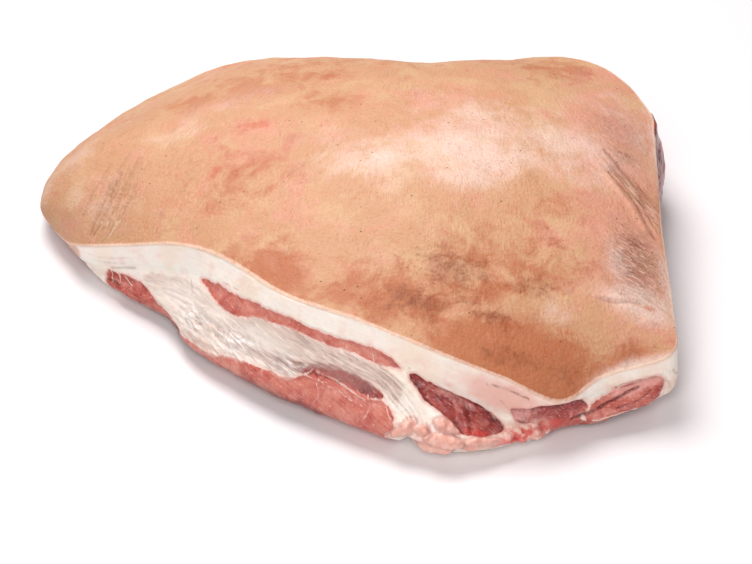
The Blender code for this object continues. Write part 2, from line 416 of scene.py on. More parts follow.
GLAZES = {
    # kind: amount, along, level, half length, half height
    # film: a film of fat over the muscles, and painted sheen on the blade's top at along 346 and 354
    "film": ((1.0, 385, 1.15, 13, 0.5), (0.9, 346, 1.24, 9, 0.15), (0.8, 354, 1.34, 10, 0.12),
        (0.3, 368, 1.7, 5, 0.3), (1.3, 457, 1.26, 15, 0.36), (1.7, 471, 1.0, 10, 0.42),
        (0.5, 440, 2.4, 22, 0.5), (0.5, 424, 2.0, 10, 0.4), (0.4, 290, 2.25, 26, 0.2),
        (1.0, 704, 1.3, 24, 0.8), (0.6, 98, 2.3, 12, 0.2)),
    "veil": ((1.0, 284, 1.9, 26, 0.22), (0.6, 244, 2.2, 26, 0.3)),
    "pink": ((0.9, 348, 2.8, 34, 0.8), (0.7, 390, 1.6, 10, 0.5), (0.3, 120, 1.5, 20, 0.3),
        (0.5, 482, 2.0, 14, 1.4)),
    "blood": ((0.8, 405, 2.3, 13, 0.35), (0.9, 384, 2.9, 9, 0.6), (0.5, 398, 2.5, 9, 0.5),
        (0.7, 364, 2.08, 12, 0.16)),
    "cream": ((0.95, 150, 2.0, 32, 0.8), (0.9, 190, 1.75, 20, 0.35), (0.9, 230, 1.86, 20, 0.3),
        (0.7, 200, 2.5, 30, 0.2)),
    # blush: pink fat, and painted shade under the rounded fat at the shank end (along 62)
    "blush": ((1.1, 378, 0.55, 30, 0.5), (0.6, 410, 0.5, 12, 0.5), (0.5, 62, 2.2, 14, 0.9),
        (0.2, 98, 0.9, 16, 0.3), (0.5, 345, 0.9, 20, 0.2), (0.5, 455, 0.8, 30, 0.25)),
    "turned": ((1.5, 43, 0.5, 21, 1.2),),
    # foot: painted shadow near the floor, at the foot of the cut face
    "foot": ((1.1, 246, 3.62, 60, 0.75), (1.1, 150, 4.1, 60, 0.8), (1.0, 450, 4.4, 34, 0.7),
        (0.7, 840, 4.9, 320, 0.5)),
}
NUBS = {
    # name: how far it stands out in mm, corners of (along, level)
    "tall": (3.2, ((345, 1.84), (350, 1.95), (355, 2.16), (350, 2.28), (343, 2.24), (341, 2.05))),
    "broad": (3.0, ((338, 2.56), (344, 2.36), (352, 2.34), (359, 2.44), (359, 2.75), (350, 3.0),
        (341, 2.86))),
    "long": (2.8, ((327, 2.2), (331, 2.2), (330, 2.5), (325, 2.9), (319, 3.3), (316, 3.2), (321, 2.6))),
    "small": (2.2, ((333, 2.26), (338, 2.24), (339, 2.42), (336, 2.56), (332, 2.46))),
    "low": (2.2, ((361, 2.34), (370, 2.32), (378, 2.38), (377, 2.6), (368, 2.74), (361, 2.66))),
    "lowest": (2.2, ((362, 2.8), (371, 2.84), (377, 2.74), (376, 3.1), (366, 3.3), (356, 3.2))),
    "foot": (2.4, ((334, 3.0), (344, 3.06), (352, 3.2), (350, 3.6), (338, 3.6), (331, 3.3))),
    "torn one": (2.2, ((384, 1.95), (389, 2.05), (391, 2.3), (387, 2.45), (382, 2.3))),
    "torn two": (2.4, ((393, 2.3), (398, 2.2), (402, 2.5), (399, 2.8), (393, 2.7))),
    "torn three": (2.2, ((385, 2.65), (390, 2.75), (391, 3.0), (386, 3.1), (382, 2.9))),
    "torn four": (2.2, ((395, 2.9), (400, 2.9), (402, 3.2), (397, 3.3), (393, 3.1))),
}
print(len(MEMBRANES), "membranes,", len(GLAZES), "kinds of glaze and", len(NUBS), "nubs of trimmed fat")

# %% [markdown]
# Nobody looks as closely at the sides and the back, but they are cut through the same
# bundles of muscle. A rule can lay those out: hearts are scattered in three rows, each
# place belongs to its nearest heart, and the seams of fat lie where two hearts are
# equally near. Waving the ruler first keeps the seams from running straight.

# %% Muscles at the sides and the back by a rule
BACK_START = 497
HEART_ROWS = 3
HEARTS_IN_ROW = 17
HEART_SPACING = 47
ROW_SHIFT = 21
ROW_DEPTH = 20
HEARTS = [
    # along, mm below the seam, how much larger than its neighbours in mm, darkness;
    # the sines only scatter what would be an even grid
    (BACK_START + HEART_SPACING * place + ROW_SHIFT * row + 15 * math.sin(5.1 * place + 2.3 * row),
     9 + ROW_DEPTH * row + 5 * math.cos(3.3 * place + row),
     6 * math.sin(7.7 * place + 4.1 * row),
     0.44 + 0.26 * math.sin(3.9 * place + 2.2 * row))
    for row in range(HEART_ROWS) for place in range(HEARTS_IN_ROW)]
HEART_STRETCH = 2.1
SEAM_OF_FAT = 0.9
print(len(HEARTS), "muscles at the sides and the back")

# %% [markdown]
# Other features are lines: cords of white tissue that stand proud, and dark seams where
# one muscle slips under the next. Each is a short run of points with a width, a height
# and a paleness; a negative height cuts a groove, and a negative paleness paints shade
# into it. The cords fan out between two runs, so we only draw those two and blend the rest.

# %% Lines in the cut
FAN_FIRST = (
    (262, 1.72), (278, 1.62), (291, 1.6), (301, 1.68), (308, 1.84), (312, 1.98), (320, 2.16), (326, 2.3))
FAN_LAST = (
    (282, 1.3), (297, 1.3), (308, 1.28), (316, 1.36), (325, 1.54), (330, 1.7), (335, 1.9), (339, 2.2))
FAN = 11
LINES = [
    # width and height in mm, paleness (below 0, painted shade), points of (along, level)
    (0.5, 0.3, 0.7, ((296, 0.84), (297, 1.0), (300, 1.28))), (0.5, 0.3, 0.6, ((281, 0.98), (281, 1.3))),
    (0.6, 0.3, 0.7, ((247, 0.98), (249, 1.1), (248, 1.26))),
    (0.7, 0.6, 0.8, ((257, 2.3), (262, 2.12), (264, 1.98))),
    (0.9, 0.6, 0.7, ((266, 2.02), (277, 2.05), (287, 2.12), (297, 2.24), (303, 2.14), (310, 2.04))),
    (0.6, 0.5, 0.8, ((311, 2.0), (314, 2.3), (317, 2.45))),
    (0.5, 0.3, 0.5, ((273, 2.36), (280, 2.26), (286, 2.26))),
    (0.8, 0.6, 0.8, ((430, 2.62), (437, 2.7), (452, 2.76), (462, 2.9))),
    (0.6, 0.4, 0.6, ((460, 3.0), (470, 2.76), (478, 2.3), (481, 1.6))),
    (0.8, -0.5, 0.9, ((427, 1.0), (430, 1.4), (428, 1.9))),
    (0.6, -1.2, -0.55, ((334, 1.14), (348, 1.22), (358, 1.16), (367, 1.22), (374, 1.42),
     (378, 1.72), (377, 2.0))),
    (0.7, -1.4, -0.5, ((346, 1.22), (352, 1.3), (356, 1.36), (359, 1.68), (361, 1.94), (361, 2.1))),
    (0.6, 0.9, 0.3, ((349, 1.42), (354, 1.56), (357, 1.8), (359, 2.0))),
    (0.4, 0.3, 0.45, ((362, 1.5), (366, 1.7), (368, 1.95))),
    (0.4, 0.3, 0.4, ((338, 1.4), (344, 1.6), (349, 1.8))),
    (1.3, -1.4, -0.6, ((351, 1.82), (355, 2.02), (357, 2.12))),
    (0.5, -0.8, -0.75, ((366, 0.4), (370, 0.36), (377, 0.34), (384, 0.38), (391, 0.44))),
    (0.5, -0.5, -0.4, ((375, 0.66), (377, 0.74), (379, 0.8))),
    (0.9, -1.8, -1.0, ((419, 2.3), (430, 1.96), (438, 1.72), (450, 1.5), (458, 1.3), (464, 1.2))),
    (0.6, -0.9, -0.5, ((448, 2.16), (460, 2.1), (467, 1.9), (471, 1.7))),
    (0.8, -0.9, -0.18, ((300, 1.56), (310, 1.74), (318, 1.92), (325, 2.06), (331, 2.3))),
    (0.7, -0.7, -0.15, ((304, 1.44), (313, 1.56), (321, 1.76), (328, 2.0))),
    (0.9, -0.9, -0.4, ((89, 1.42), (94, 1.3), (101, 1.18), (109, 1.12))),
    (0.9, -1.4, -0.7, ((86, 2.5), (92, 2.42), (97, 2.5))),
    (0.7, 0.7, 0.9, ((88, 1.8), (90, 2.1), (91, 2.5))), (0.7, 0.7, 0.9, ((94, 1.74), (96, 2.0), (98, 2.3))),
    (0.6, 0.6, 0.8, ((100, 1.76), (103, 2.0), (108, 2.2))),
    (0.6, -0.6, -0.3, ((104, 2.5), (118, 2.8), (134, 3.2), (150, 3.5))),
    (0.6, 0.5, 0.5, ((118, 1.9), (126, 2.26), (136, 2.66))),
    (0.8, -0.7, -0.2, ((126, 2.3), (136, 2.64), (150, 2.94), (164, 3.08))),
    (0.5, -0.3, -0.4, ((158, 1.2), (161, 1.4), (164, 1.62))),
    (0.45, 0.4, 0.8, ((300, 2.06), (303, 2.4), (301, 2.8))),
    (0.45, 0.4, 0.7, ((270, 2.1), (268, 2.3), (271, 2.6), (269, 2.9))),
    (0.45, 0.4, 0.7, ((240, 2.44), (243, 2.6), (241, 2.8))),
    (0.45, 0.4, 0.6, ((226, 2.6), (229, 2.8), (227, 3.0))),
    (0.5, 0.4, 0.7, ((256, 2.26), (268, 2.22), (282, 2.3), (292, 2.42))),
    (1.5, -1.2, -0.5, ((100, 3.3), (113, 3.3), (125, 3.3), (143, 3.4), (156, 3.4))),
    (0.5, -0.35, -0.15, ((70, 0.56), (79, 0.68), (92, 0.7), (104, 0.66))),
    (0.5, -0.3, -0.12, ((72, 0.8), (86, 0.94), (100, 0.92))),
    (0.6, -0.5, -0.3, ((272, 2.1), (274, 2.4), (272, 2.7))),
    (2.6, -2.6, -0.5, ((320, 3.3), (326, 3.2), (331, 3.2))),
    (4.2, -4.5, -0.4, ((326, 3.3), (327, 3.7), (327, 4.4))),
    (0.8, -1.2, -0.45, ((338, 2.3), (341, 2.46), (340, 2.6))),
    (0.8, -1.0, -0.3, ((353, 2.3), (358, 2.5), (360, 2.8))),
    (0.5, -0.6, -0.25, ((479, 1.2), (482, 1.7), (483, 2.3))),
    (0.5, -0.6, -0.25, ((486, 0.9), (487, 1.3), (490, 1.6))),
]
for step in range(FAN):
    part = step / (FAN - 1)
    strand = [(a + (c - a) * part, b + (d - b) * part) for (a, b), (c, d) in zip(FAN_FIRST, FAN_LAST)]
    if step % 2:
        LINES.append((0.45, -0.4, -0.2 - 0.06 * (step % 3), strand))
    else:
        LINES.append((0.55, 0.5 + 0.2 * (step % 3), 0.6 + 0.15 * (step % 3), strand))
print(len(LINES), "cords, seams and cracks")

# %% Measure distances to outlines and lines
def ruled(corners):
    """Corners of (along, level) as millimetres along and down the face."""
    corners = np.array(corners, float)
    return np.column_stack([corners[:, 0], drop(corners[:, 0], corners[:, 1])])


def gap_to_run(run, along, down):
    """The shortest distance from each place to a run of points."""
    best = np.full(along.shape, 1e3)
    for (a, b), (c, d) in zip(run, run[1:]):
        length = (c - a)**2 + (d - b)**2 + 1e-9
        t = np.clip(((along - a) * (c - a) + (down - b) * (d - b)) / length, 0, 1)
        best = np.minimum(best, (along - a - t * (c - a))**2 + (down - b - t * (d - b))**2)
    return np.sqrt(best)


def near_only(measure, run, along, down, reach=12):
    """Measure only places within reach of the run's box; the rest are far away."""
    low, high = run.min(0) - reach, run.max(0) + reach
    near = (along > low[0]) & (along < high[0]) & (down > low[1]) & (down < high[1])
    result = np.full(along.shape, -1e3)
    result[near] = measure(run, along[near], down[near])
    return result


def depth_inside(run, along, down):
    """How far inside a closed run each place lies; outside it is negative."""
    inside = np.zeros(along.shape, bool)
    for (a, b), (c, d) in zip(run, np.roll(run, -1, axis=0)):
        crosses = (b > down) != (d > down)
        inside ^= crosses & (along < (c - a) * (down - b) / (d - b + 1e-9) + a)
    gap = gap_to_run(np.vstack([run, run[:1]]), along, down)
    return np.where(inside, gap, -gap)


def area(corners, along, down):
    """How far inside a smooth outline through the corners each place lies."""
    corners = ruled(corners)
    run = read_curve(corners, np.arange(0, len(corners), 0.25))
    return near_only(depth_inside, run, along, down)


def smooth_run(points):
    """A smooth open run through a few points."""
    points = np.array(points, float)
    ends = np.vstack([2 * points[0] - points[1], points, 2 * points[-1] - points[-2]])
    return read_curve(ends, np.linspace(1, len(points), 4 * len(points) - 3).clip(1, len(points) - 1e-6))


def line(points, along, down):
    """The distance from each place to a smooth line through the points."""
    return np.abs(near_only(gap_to_run, smooth_run(ruled(points)), along, down))


inside_loin = area(MUSCLES["loin"][3], np.array([265.0]), drop([265.0], [3.2]))
print("the middle of the loin lies", inside_loin.round(1), "mm inside")

# %% [markdown]
# ## Relief of the cut
#
# Now everything that the face does in and out is added up. Each kind of feature has a
# function that gives its relief together with the numbers that the materials need
# later, so the colour of a muscle and its shape can never drift apart. The muscles come
# first: each stands out or sinks with soft shoulders, and its flesh is a little rough.

# %% Muscles
SHANK_END = 60
BACK_SWELL = 1.1
OUTSIDE = -50.0


def at_the_back(points, along, below_seam):
    """How far inside the nearest muscle by the rule a place lies, and its darkness."""
    waved = along + 9 * uneven(points, 30, 33)
    deep = below_seam + 5 * uneven(points, 24, 35)
    gaps = []
    for place, depth, size, darkness in HEARTS:
        far = (waved - place + ROUND / 2) % ROUND - ROUND / 2
        gaps.append(np.hypot(far / HEART_STRETCH, deep - depth) - size)
    gaps = np.array(gaps)
    nearest = gaps.argmin(axis=0)
    first, second = np.partition(gaps, 1, axis=0)[:2]
    top = below_seam - 1.5 + 1.2 * uneven(points, 12, 37)
    inside = np.minimum((second - first) / 2 - SEAM_OF_FAT, top)
    ends = np.where(along < BACK_START / 2, SHANK_END - along, along - BACK_START)
    inside = np.minimum(inside, ends + 3 * uneven(points, 11, 39))
    return inside, np.array([heart[3] for heart in HEARTS])[nearest]


def read_muscles(points, along, level, down):
    """The relief of the muscles, how far inside one each place lies, and its darkness."""
    ragged = 0.6 * uneven(points, 5, 31)
    lean = np.full(along.shape, OUTSIDE)
    dark = np.full(along.shape, 0.35)
    relief = np.zeros(along.shape)
    for darkness, lost, rise, corners in MUSCLES.values():
        inside = area(corners, along, down) + ragged
        dark = np.where(inside > lean, darkness - lost * (level - corners[0][1]).clip(0, 2.5), dark)
        lean = np.maximum(lean, inside)
        relief += rise * smooth(inside, -0.6, 1.4)
    inside, darkness = at_the_back(points, along, down - drop(along, np.ones(along.shape)))
    dark = np.where(inside > lean, darkness, dark)
    lean = np.maximum(lean, inside)
    relief += np.where(along > BACK_START, BACK_SWELL, 0) * smooth(inside, -0.6, 2.5)
    relief += smooth(lean, -0.5, 1.5) * rough(points, (0.3, 3.6, 24), (0.12, 1.6, 25))
    return relief, {"lean": lean, "dark": dark}


print("outside every muscle, the number is", OUTSIDE)

# %% [markdown]
# Silverskin has fibres that run slantwise down to the right, so its noise is stretched
# along that direction. At its thickest places it is crinkled, and its colour there has
# painted highlights on the crinkles and painted shade between them.

# %% Silverskin
FIBRE_SLANT = math.radians(8)
FIBRE_LENGTH = 16
FIBRE_WIDTH = 1.8
CRINKLE_STRETCH = 0.45
SILVER_HEARTS = (
    # along, level, half length, half height
    (208, 2.25, 22, 0.42), (250, 2.2, 14, 0.3), (172, 2.3, 16, 0.4))


def fibres(along, down):
    """Noise stretched into fibres that run down to the right at a slant."""
    run = along * math.cos(FIBRE_SLANT) + down * math.sin(FIBRE_SLANT)
    across = down * math.cos(FIBRE_SLANT) - along * math.sin(FIBRE_SLANT)
    return uneven(np.stack([run / FIBRE_LENGTH * FIBRE_WIDTH, across], -1), FIBRE_WIDTH, 41)


def read_silver(points, along, level, down):
    """The relief of the silverskin, how far inside it a place lies, and how thick it is."""
    silver = np.max([area(corners, along, down) for corners in MEMBRANES], axis=0)
    silver += 1.5 * uneven(points, 11, 40)
    silver += np.where(along > BACK_START, 5 * uneven(points, 16, 43) - 1.5, 0)
    heart = np.max([spot_on_cut(along, level, *size) for size in SILVER_HEARTS], axis=0)
    crinkled = np.stack([along * CRINKLE_STRETCH, down], -1)
    relief = 0.4 * fibres(along, down) + 0.5 * uneven(points, 9, 44) - 0.4
    relief += heart * rough(crinkled, (0.9, 2.6, 45), (0.6, 1.5, 47))
    return smooth(silver, -1.5, 3) * relief, {"silver": silver, "heart": heart}


print("the fibres slant by", round(math.degrees(FIBRE_SLANT)), "degrees")

# %% Nubs, cords, seams and the torn bit
TORN = (391, 2.5, 13, 0.8)
TORN_HEIGHT = 2.0
NUB_SHOULDER = 4


def read_nubs(points, along, level, down):
    """The relief of the nubs of trimmed fat, and how far inside one each place lies."""
    ragged = 0.9 * uneven(points, 4, 51)
    lumpy = 1.15 + 0.5 * uneven(points, 4, 52)
    nub = np.full(along.shape, OUTSIDE)
    relief = np.zeros(along.shape)
    for rise, corners in NUBS.values():
        inside = area(corners, along, down) + ragged
        relief += rise * np.sqrt(np.clip(inside / NUB_SHOULDER, 0, 1)) * lumpy
        nub = np.maximum(nub, inside)
    return relief, {"nub": nub}


def read_lines(points, along, level, down):
    """The relief of cords, seams and the torn bit, and how pale they are or how much shade is painted on
    them.
    """
    waver = 0.3 * uneven(points, 3, 61)
    relief, pale, shade = np.zeros((3, *along.shape))
    for width, height, paleness, run in LINES:
        shape = np.exp(-((line(run, along, down) + waver) / width)**2)
        relief += height * shape
        pale = np.maximum(pale, shape * paleness)
        shade = np.maximum(shade, -shape * paleness)
    torn = spot_on_cut(along, level, *TORN, power=4)
    lump = uneven(points, 4.2, 71)
    relief += torn * TORN_HEIGHT * lump
    # painted shade in the valleys between the torn lumps
    shade = np.maximum(shade, torn * smooth(-lump, 0.45, 0.9) * 0.35)
    return relief, {"pale": pale, "shade": shade, "torn": torn, "lump": lump}


print("the torn bit is about", 2 * TORN[2], "mm long")

# %% Add up the relief of the cut face
FINE_SWELLS = (
    # along level length depth out
    (705, 1.1, 34, 0.9, 1.2),
    (487, 1.4, 9, 1.1, 3.2),
)


def read_cut(points, along, level):
    """The relief of the cut face in millimetres, and the numbers its materials need."""
    down = drop(along, level)
    relief = rough(points, (0.45, 14, 21), (0.2, 5, 22))
    numbers = {}
    for read in (read_muscles, read_silver, read_nubs, read_lines):
        further, found = read(points, along, level, down)
        relief += further
        numbers.update(found)
    for *size, rise in FINE_SWELLS:
        relief += rise * spot_on_cut(along, level, *size)
    for kind, glazes in GLAZES.items():
        spots = [amount * spot_on_cut(along, level, *size) for amount, *size in glazes]
        numbers[kind] = np.max(spots, axis=0)
    return relief, numbers


print("relief and numbers are read together")

# %% [markdown]
# ## From rings of points to closed meshes
#
# Every piece of the joint is one closed surface: rings of points from a pole on top,
# out and down over the side that shows, and back in to a pole underneath. One small
# class gathers the rings with the numbers that ride on them and turns them into a mesh.
# Faces that meet at a hidden corner are marked sharp, so that the shading of the side
# that shows does not bend there.

# %% A class that gathers rings into a mesh
SHARP_CORNER = math.radians(70)


class Surface:
    """Points, faces and numbers of one closed piece, gathered block by block."""

    def __init__(self):
        self.points = []
        self.faces = []
        self.numbers = {}
        self.rulers = []
        self.count = 0

    def add(self, points, numbers=None, ruler=None):
        """Add a block of points with its numbers, and return their indices."""
        numbers = numbers or {}
        flat = points.reshape(-1, 3)
        index = np.arange(self.count, self.count + len(flat)).reshape(points.shape[:-1])
        self.rulers.append((points if ruler is None else ruler).reshape(-1, 3))
        for name in {**self.numbers, **numbers}:
            column = self.numbers.setdefault(name, [np.zeros(self.count)] if self.count else [])
            values = np.broadcast_to(numbers.get(name, 0.0), points.shape[:-1])
            column.append(values.reshape(-1).astype(float))
        self.points.append(flat)
        self.count += len(flat)
        return index

    def sheet(self, index, closed=False):
        """Faces over a grid of indices, whose rows run outwards or down."""
        if closed:
            index = np.concatenate([index, index[:, :1]], axis=1)
        quads = np.stack([index[:-1, :-1], index[1:, :-1], index[1:, 1:], index[:-1, 1:]], -1)
        self.faces += quads.reshape(-1, 4).tolist()

    def pole(self, ring, pole, above):
        """A fan of faces from a ring to the one point above or below it."""
        ahead = np.roll(ring, -1)
        fan = (np.full(len(ring), pole), ring, ahead) if above else (np.full(len(ring), pole), ahead, ring)
        self.faces += np.stack(fan, -1).tolist()

    def build(self, name):
        """Make the object, smooth shaded, with its numbers as attributes."""
        points = (np.concatenate(self.points) - MIDDLE) * MM
        mesh = bpy.data.meshes.new(name)
        mesh.from_pydata(points.tolist(), [], self.faces)
        mesh.validate()
        for label, blocks in self.numbers.items():
            values = np.concatenate(blocks).astype(np.float32)
            mesh.attributes.new(label, "FLOAT", "POINT").data.foreach_set("value", values)
        rulers = np.concatenate(self.rulers).astype(np.float32)
        mesh.attributes.new("ruler", "FLOAT_VECTOR", "POINT").data.foreach_set("vector", rulers.reshape(-1))
        mesh.shade_smooth()
        mesh.set_sharp_from_angle(angle=SHARP_CORNER)
        piece = bpy.data.objects.new(name, mesh)
        bpy.context.scene.collection.objects.link(piece)
        triangles = sum(len(face) - 2 for face in self.faces)
        print(name, "has", triangles, "triangles, and is", np.ptp(points, axis=0).round(4), "m in size")
        return piece


def unit(vectors):
    """The same directions, all of length 1."""
    return vectors / np.maximum(np.linalg.norm(vectors, axis=-1, keepdims=True), 1e-9)


print("faces that meet at more than", round(math.degrees(SHARP_CORNER)), "degrees keep a sharp corner")

# %% Directions, rulers and hidden rings
NEXT_LEVEL = 0.02
NEXT_ALONG = 0.5
RULER_JOIN = 400


def face_out(along, level):
    """Directions that point straight out of the cut face."""
    down = (cut_face(along, np.minimum(level + NEXT_LEVEL, LEVELS))
            - cut_face(along, np.maximum(level - NEXT_LEVEL, 0)))
    across = cut_face(along + NEXT_ALONG, level) - cut_face(along - NEXT_ALONG, level)
    return unit(np.cross(down, across))


def face_ruler(along, down):
    """Millimetres along and down the cut face, for the materials; it starts anew at the back."""
    return np.stack([(along + RULER_JOIN) % ROUND - RULER_JOIN, down, np.zeros(along.shape)], -1)


def at_crown(height):
    """The one point in the middle of a dome, at a height."""
    return np.array([[*CROWN, height]])


def below_skin(along, share, depth):
    """A ring of points at a depth under the skin."""
    ring = skin(along, np.full(len(along), share))
    ring[:, 2] -= depth
    return ring


print("the crown is", CROWN_HEIGHT.round(1), "mm high")

# %% [markdown]
# ## The meat
#
# The meat shows from the seam under the fat down to the foot. Its columns of points are
# close together along the front, where the cut is rich, and wider apart at the back. A
# short tuck runs up behind the fat, so that no gap opens between the two pieces. The
# underside lies flat on the floor, with shallow hollows that only go up into the meat.

# %% Spread the columns along the edge
FINE_COLUMN = 0.66
COARSE_COLUMN = 2.2
FRONT_BEGINS = (40, 70)
FRONT_ENDS = (495, 530)
SAMPLE = 0.5

sample = np.arange(0, ROUND, SAMPLE)
closeness = smooth(sample, *FRONT_BEGINS) * (1 - smooth(sample, *FRONT_ENDS))
per_mm = closeness / FINE_COLUMN + (1 - closeness) / COARSE_COLUMN
count = np.concatenate(([0], np.cumsum(per_mm * SAMPLE)))
COLUMNS = round(count[-1])
columns = np.interp(np.arange(COLUMNS) * count[-1] / COLUMNS, count, np.append(sample, ROUND))
print(COLUMNS, "columns")

# %% Build the meat
TUCK_UP = 1.6
TUCK_IN = 1.0
DOME_GAP = 1.5
FOOT_CLEAR = 0.2
ROWS_BY_LEVEL = ((1, 26), (2, 22), (3, 14), (4, 9))
MEAT_LEVELS = np.concatenate(
    [np.linspace(level, level + 1, rows, endpoint=False) for level, rows in ROWS_BY_LEVEL] + [[LEVELS]])
UNDERSIDE = np.array((0.96, 0.9, 0.82, 0.72, 0.6, 0.46, 0.3, 0.15))
MEAT_DOME = (0.25, 0.5, 0.75, 0.93)
HOLLOW = 1.6
ABSENT = {"silver": -20, "nub": -20}


def meat():
    """The lean meat, closed, with its cut face in relief."""
    surface = Surface()
    along, level = np.broadcast_arrays(columns[None], MEAT_LEVELS[:, None])
    face = cut_face(along, level)
    relief, numbers = read_cut(face, along, level)
    resting = smooth(face[..., 2], 0, 4)
    face = face + face_out(along, level) * relief[..., None]
    face[..., 2] = np.maximum(face[..., 2], FOOT_CLEAR * (1 - resting))
    seam, foot = face[0], face[-1]

    dome = np.stack([under_fat(seam, share) for share in MEAT_DOME])
    dome[..., 2] -= DOME_GAP
    tuck = seam - outward(columns) * TUCK_IN
    tuck[:, 2] += TUCK_UP
    top = surface.add(dome)
    tucked = surface.add(tuck[None])
    down = drop(along, level)
    side = surface.add(face, numbers, face_ruler(along, down))
    surface.sheet(np.concatenate([top, tucked, side]), closed=True)
    crown = surface.add(at_crown(CROWN_HEIGHT - CROWN_FAT - DOME_GAP))
    surface.pole(top[0], crown[0], above=True)

    flat = CROWN + (foot[:, :2] - CROWN) * UNDERSIDE[:, None, None]
    rings = np.concatenate([flat, np.zeros((*flat.shape[:2], 1))], -1)
    bump = HOLLOW * (0.5 + 0.5 * uneven(rings, 22, 81)) * smooth(UNDERSIDE, 1, 0.85)[:, None]
    rings[..., 2] = np.clip(bump, 0, HOLLOW)
    below = {"lean": 6 + 8 * uneven(rings, 40, 82), "dark": 0.4 + 0.3 * uneven(rings, 50, 83), **ABSENT}
    inward = (1 - UNDERSIDE)[:, None] * np.linalg.norm(foot[:, :2] - CROWN, axis=-1)
    under = surface.add(rings, below, face_ruler(np.broadcast_to(columns, inward.shape), down[-1] + inward))
    surface.sheet(np.concatenate([side[-1:], under]), closed=True)
    bottom = surface.add(at_crown(0.0), {"lean": 6.0, "dark": 0.4, **ABSENT})
    surface.pole(under[-1], bottom[0], above=False)
    return surface.build("meat")


meat_piece = meat()

# %% [markdown]
# ## The fat
#
# The white band under the rind is the cut side of a fat cap that runs right across the
# joint. It shares its columns and its relief with the meat, so that the two faces meet
# without a step. Its upper edge is tucked up inside the rind.

# %% Build the fat
RIND = 1.9
FAT_ROWS = 26
OVERLAP = 0.5
TUCKED_IN = 0.6
FAT_RINGS = (
    # share of the way out, mm under the skin
    (0.2, 6), (0.45, 6), (0.7, 6), (0.9, 5.5), (0.96, 5))
FAT_UNDERSIDE = (0.97, 0.8, 0.55, 0.3)
LAST_RING_IN = 2


def fat():
    """The fat cap under the rind, closed, with its cut side in relief."""
    surface = Surface()
    start = (RIND - OVERLAP) / edge_at(columns)[:, 4]
    level = start + (1 - start) * np.linspace(0, 1, FAT_ROWS)[:, None]
    along = np.broadcast_to(columns, level.shape)
    face = cut_face(along, level)
    relief, numbers = read_cut(face, along, level)
    down = drop(along, level)
    tucked = 1 - smooth(down, RIND - OVERLAP, RIND + 0.4)
    face = face + face_out(along, level) * (relief * (1 - tucked) - TUCKED_IN * tucked)[..., None]

    top_rings = [below_skin(columns, share, depth) for share, depth in FAT_RINGS]
    top_rings.append(face[0] - outward(columns) * LAST_RING_IN - (0, 0, TUCKED_IN))
    top = surface.add(np.stack(top_rings))
    side = surface.add(face, numbers, face_ruler(along, down))
    under = surface.add(np.stack([under_fat(face[-1], share) for share in FAT_UNDERSIDE]))
    surface.sheet(np.concatenate([top, side, under]), closed=True)
    crown = surface.add(at_crown(CROWN_HEIGHT - FAT_RINGS[0][1]))
    bottom = surface.add(at_crown(CROWN_HEIGHT - CROWN_FAT))
    surface.pole(top[0], crown[0], above=True)
    surface.pole(under[-1], bottom[0], above=False)
    return surface.build("fat")


fat_piece = fat()

# %% [markdown]
# ## The rind
#
# Skin folds where a muscle pulled on it, and scraping leaves it red, pale or brown in
# places. Creases are short runs seen from above, which the mesh follows, and shade is
# painted into the folds. The colours are soft spots that the mesh carries as numbers, so
# they stay where they belong; the pale spots also carry painted sheen and highlights.

# %% Marks and folds of the skin
CREASES = (
    # width, height in mm, points of (x, y)
    (1.2, -1.5, ((167, 25), (173, 16), (181, 7), (188, -1), (195, -9))),
    (1.3, -2.3, ((168, 4), (174, -4), (179, -10), (183, -17), (187, -25), (191, -33), (195, -41))),
    (2.4, 1.4, ((165, 0), (170, -8), (175, -15), (179, -22), (183, -30), (188, -38))),
    (5.0, -1.6, ((174, 8), (181, -2), (188, -12), (195, -24))),
    (0.7, -0.8, ((175, 12), (183, 2), (190, -7), (197, -16))),
    (0.7, -0.8, ((173, 6), (181, -4), (188, -14), (195, -24))),
    (0.7, -0.8, ((176, 1), (183, -9), (189, -19), (195, -31))),
    (0.6, -0.5, ((178, 16), (186, 4), (195, -4))), (3.0, -0.8, ((160, -89), (166, -93), (172, -98))),
    (0.9, -0.8, ((154, -103), (164, -103), (172, -101.5), (179, -101))),
    (1.3, 0.9, ((152, -100), (164, -100), (175, -98.5))),
    (0.9, -0.9, ((183, -95), (191, -99), (199, -103))),
    (1.0, -1.0, ((-150, 26), (-155, 14), (-162, -2), (-168, -8))),
    (1.0, -1.1, ((-157, 20), (-163, 6), (-170, -6))),
    (0.8, -0.8, ((-142, 4), (-148, -5), (-155, -12), (-162, -15))),
    (0.8, -0.7, ((-138, 34), (-146, 18), (-152, 4), (-160, -8))),
    (0.7, -0.6, ((-160, 34), (-168, 20), (-175, 8))), (0.7, -0.6, ((-146, 40), (-152, 26), (-158, 12))),
    (0.8, -0.4, ((-30, -6), (-22, 0), (-16, 8))), (0.8, -0.4, ((-38, -12), (-30, -4), (-25, 3))),
    (0.7, -0.5, ((128, -78), (134, -83), (142, -85), (150, -83))),
)
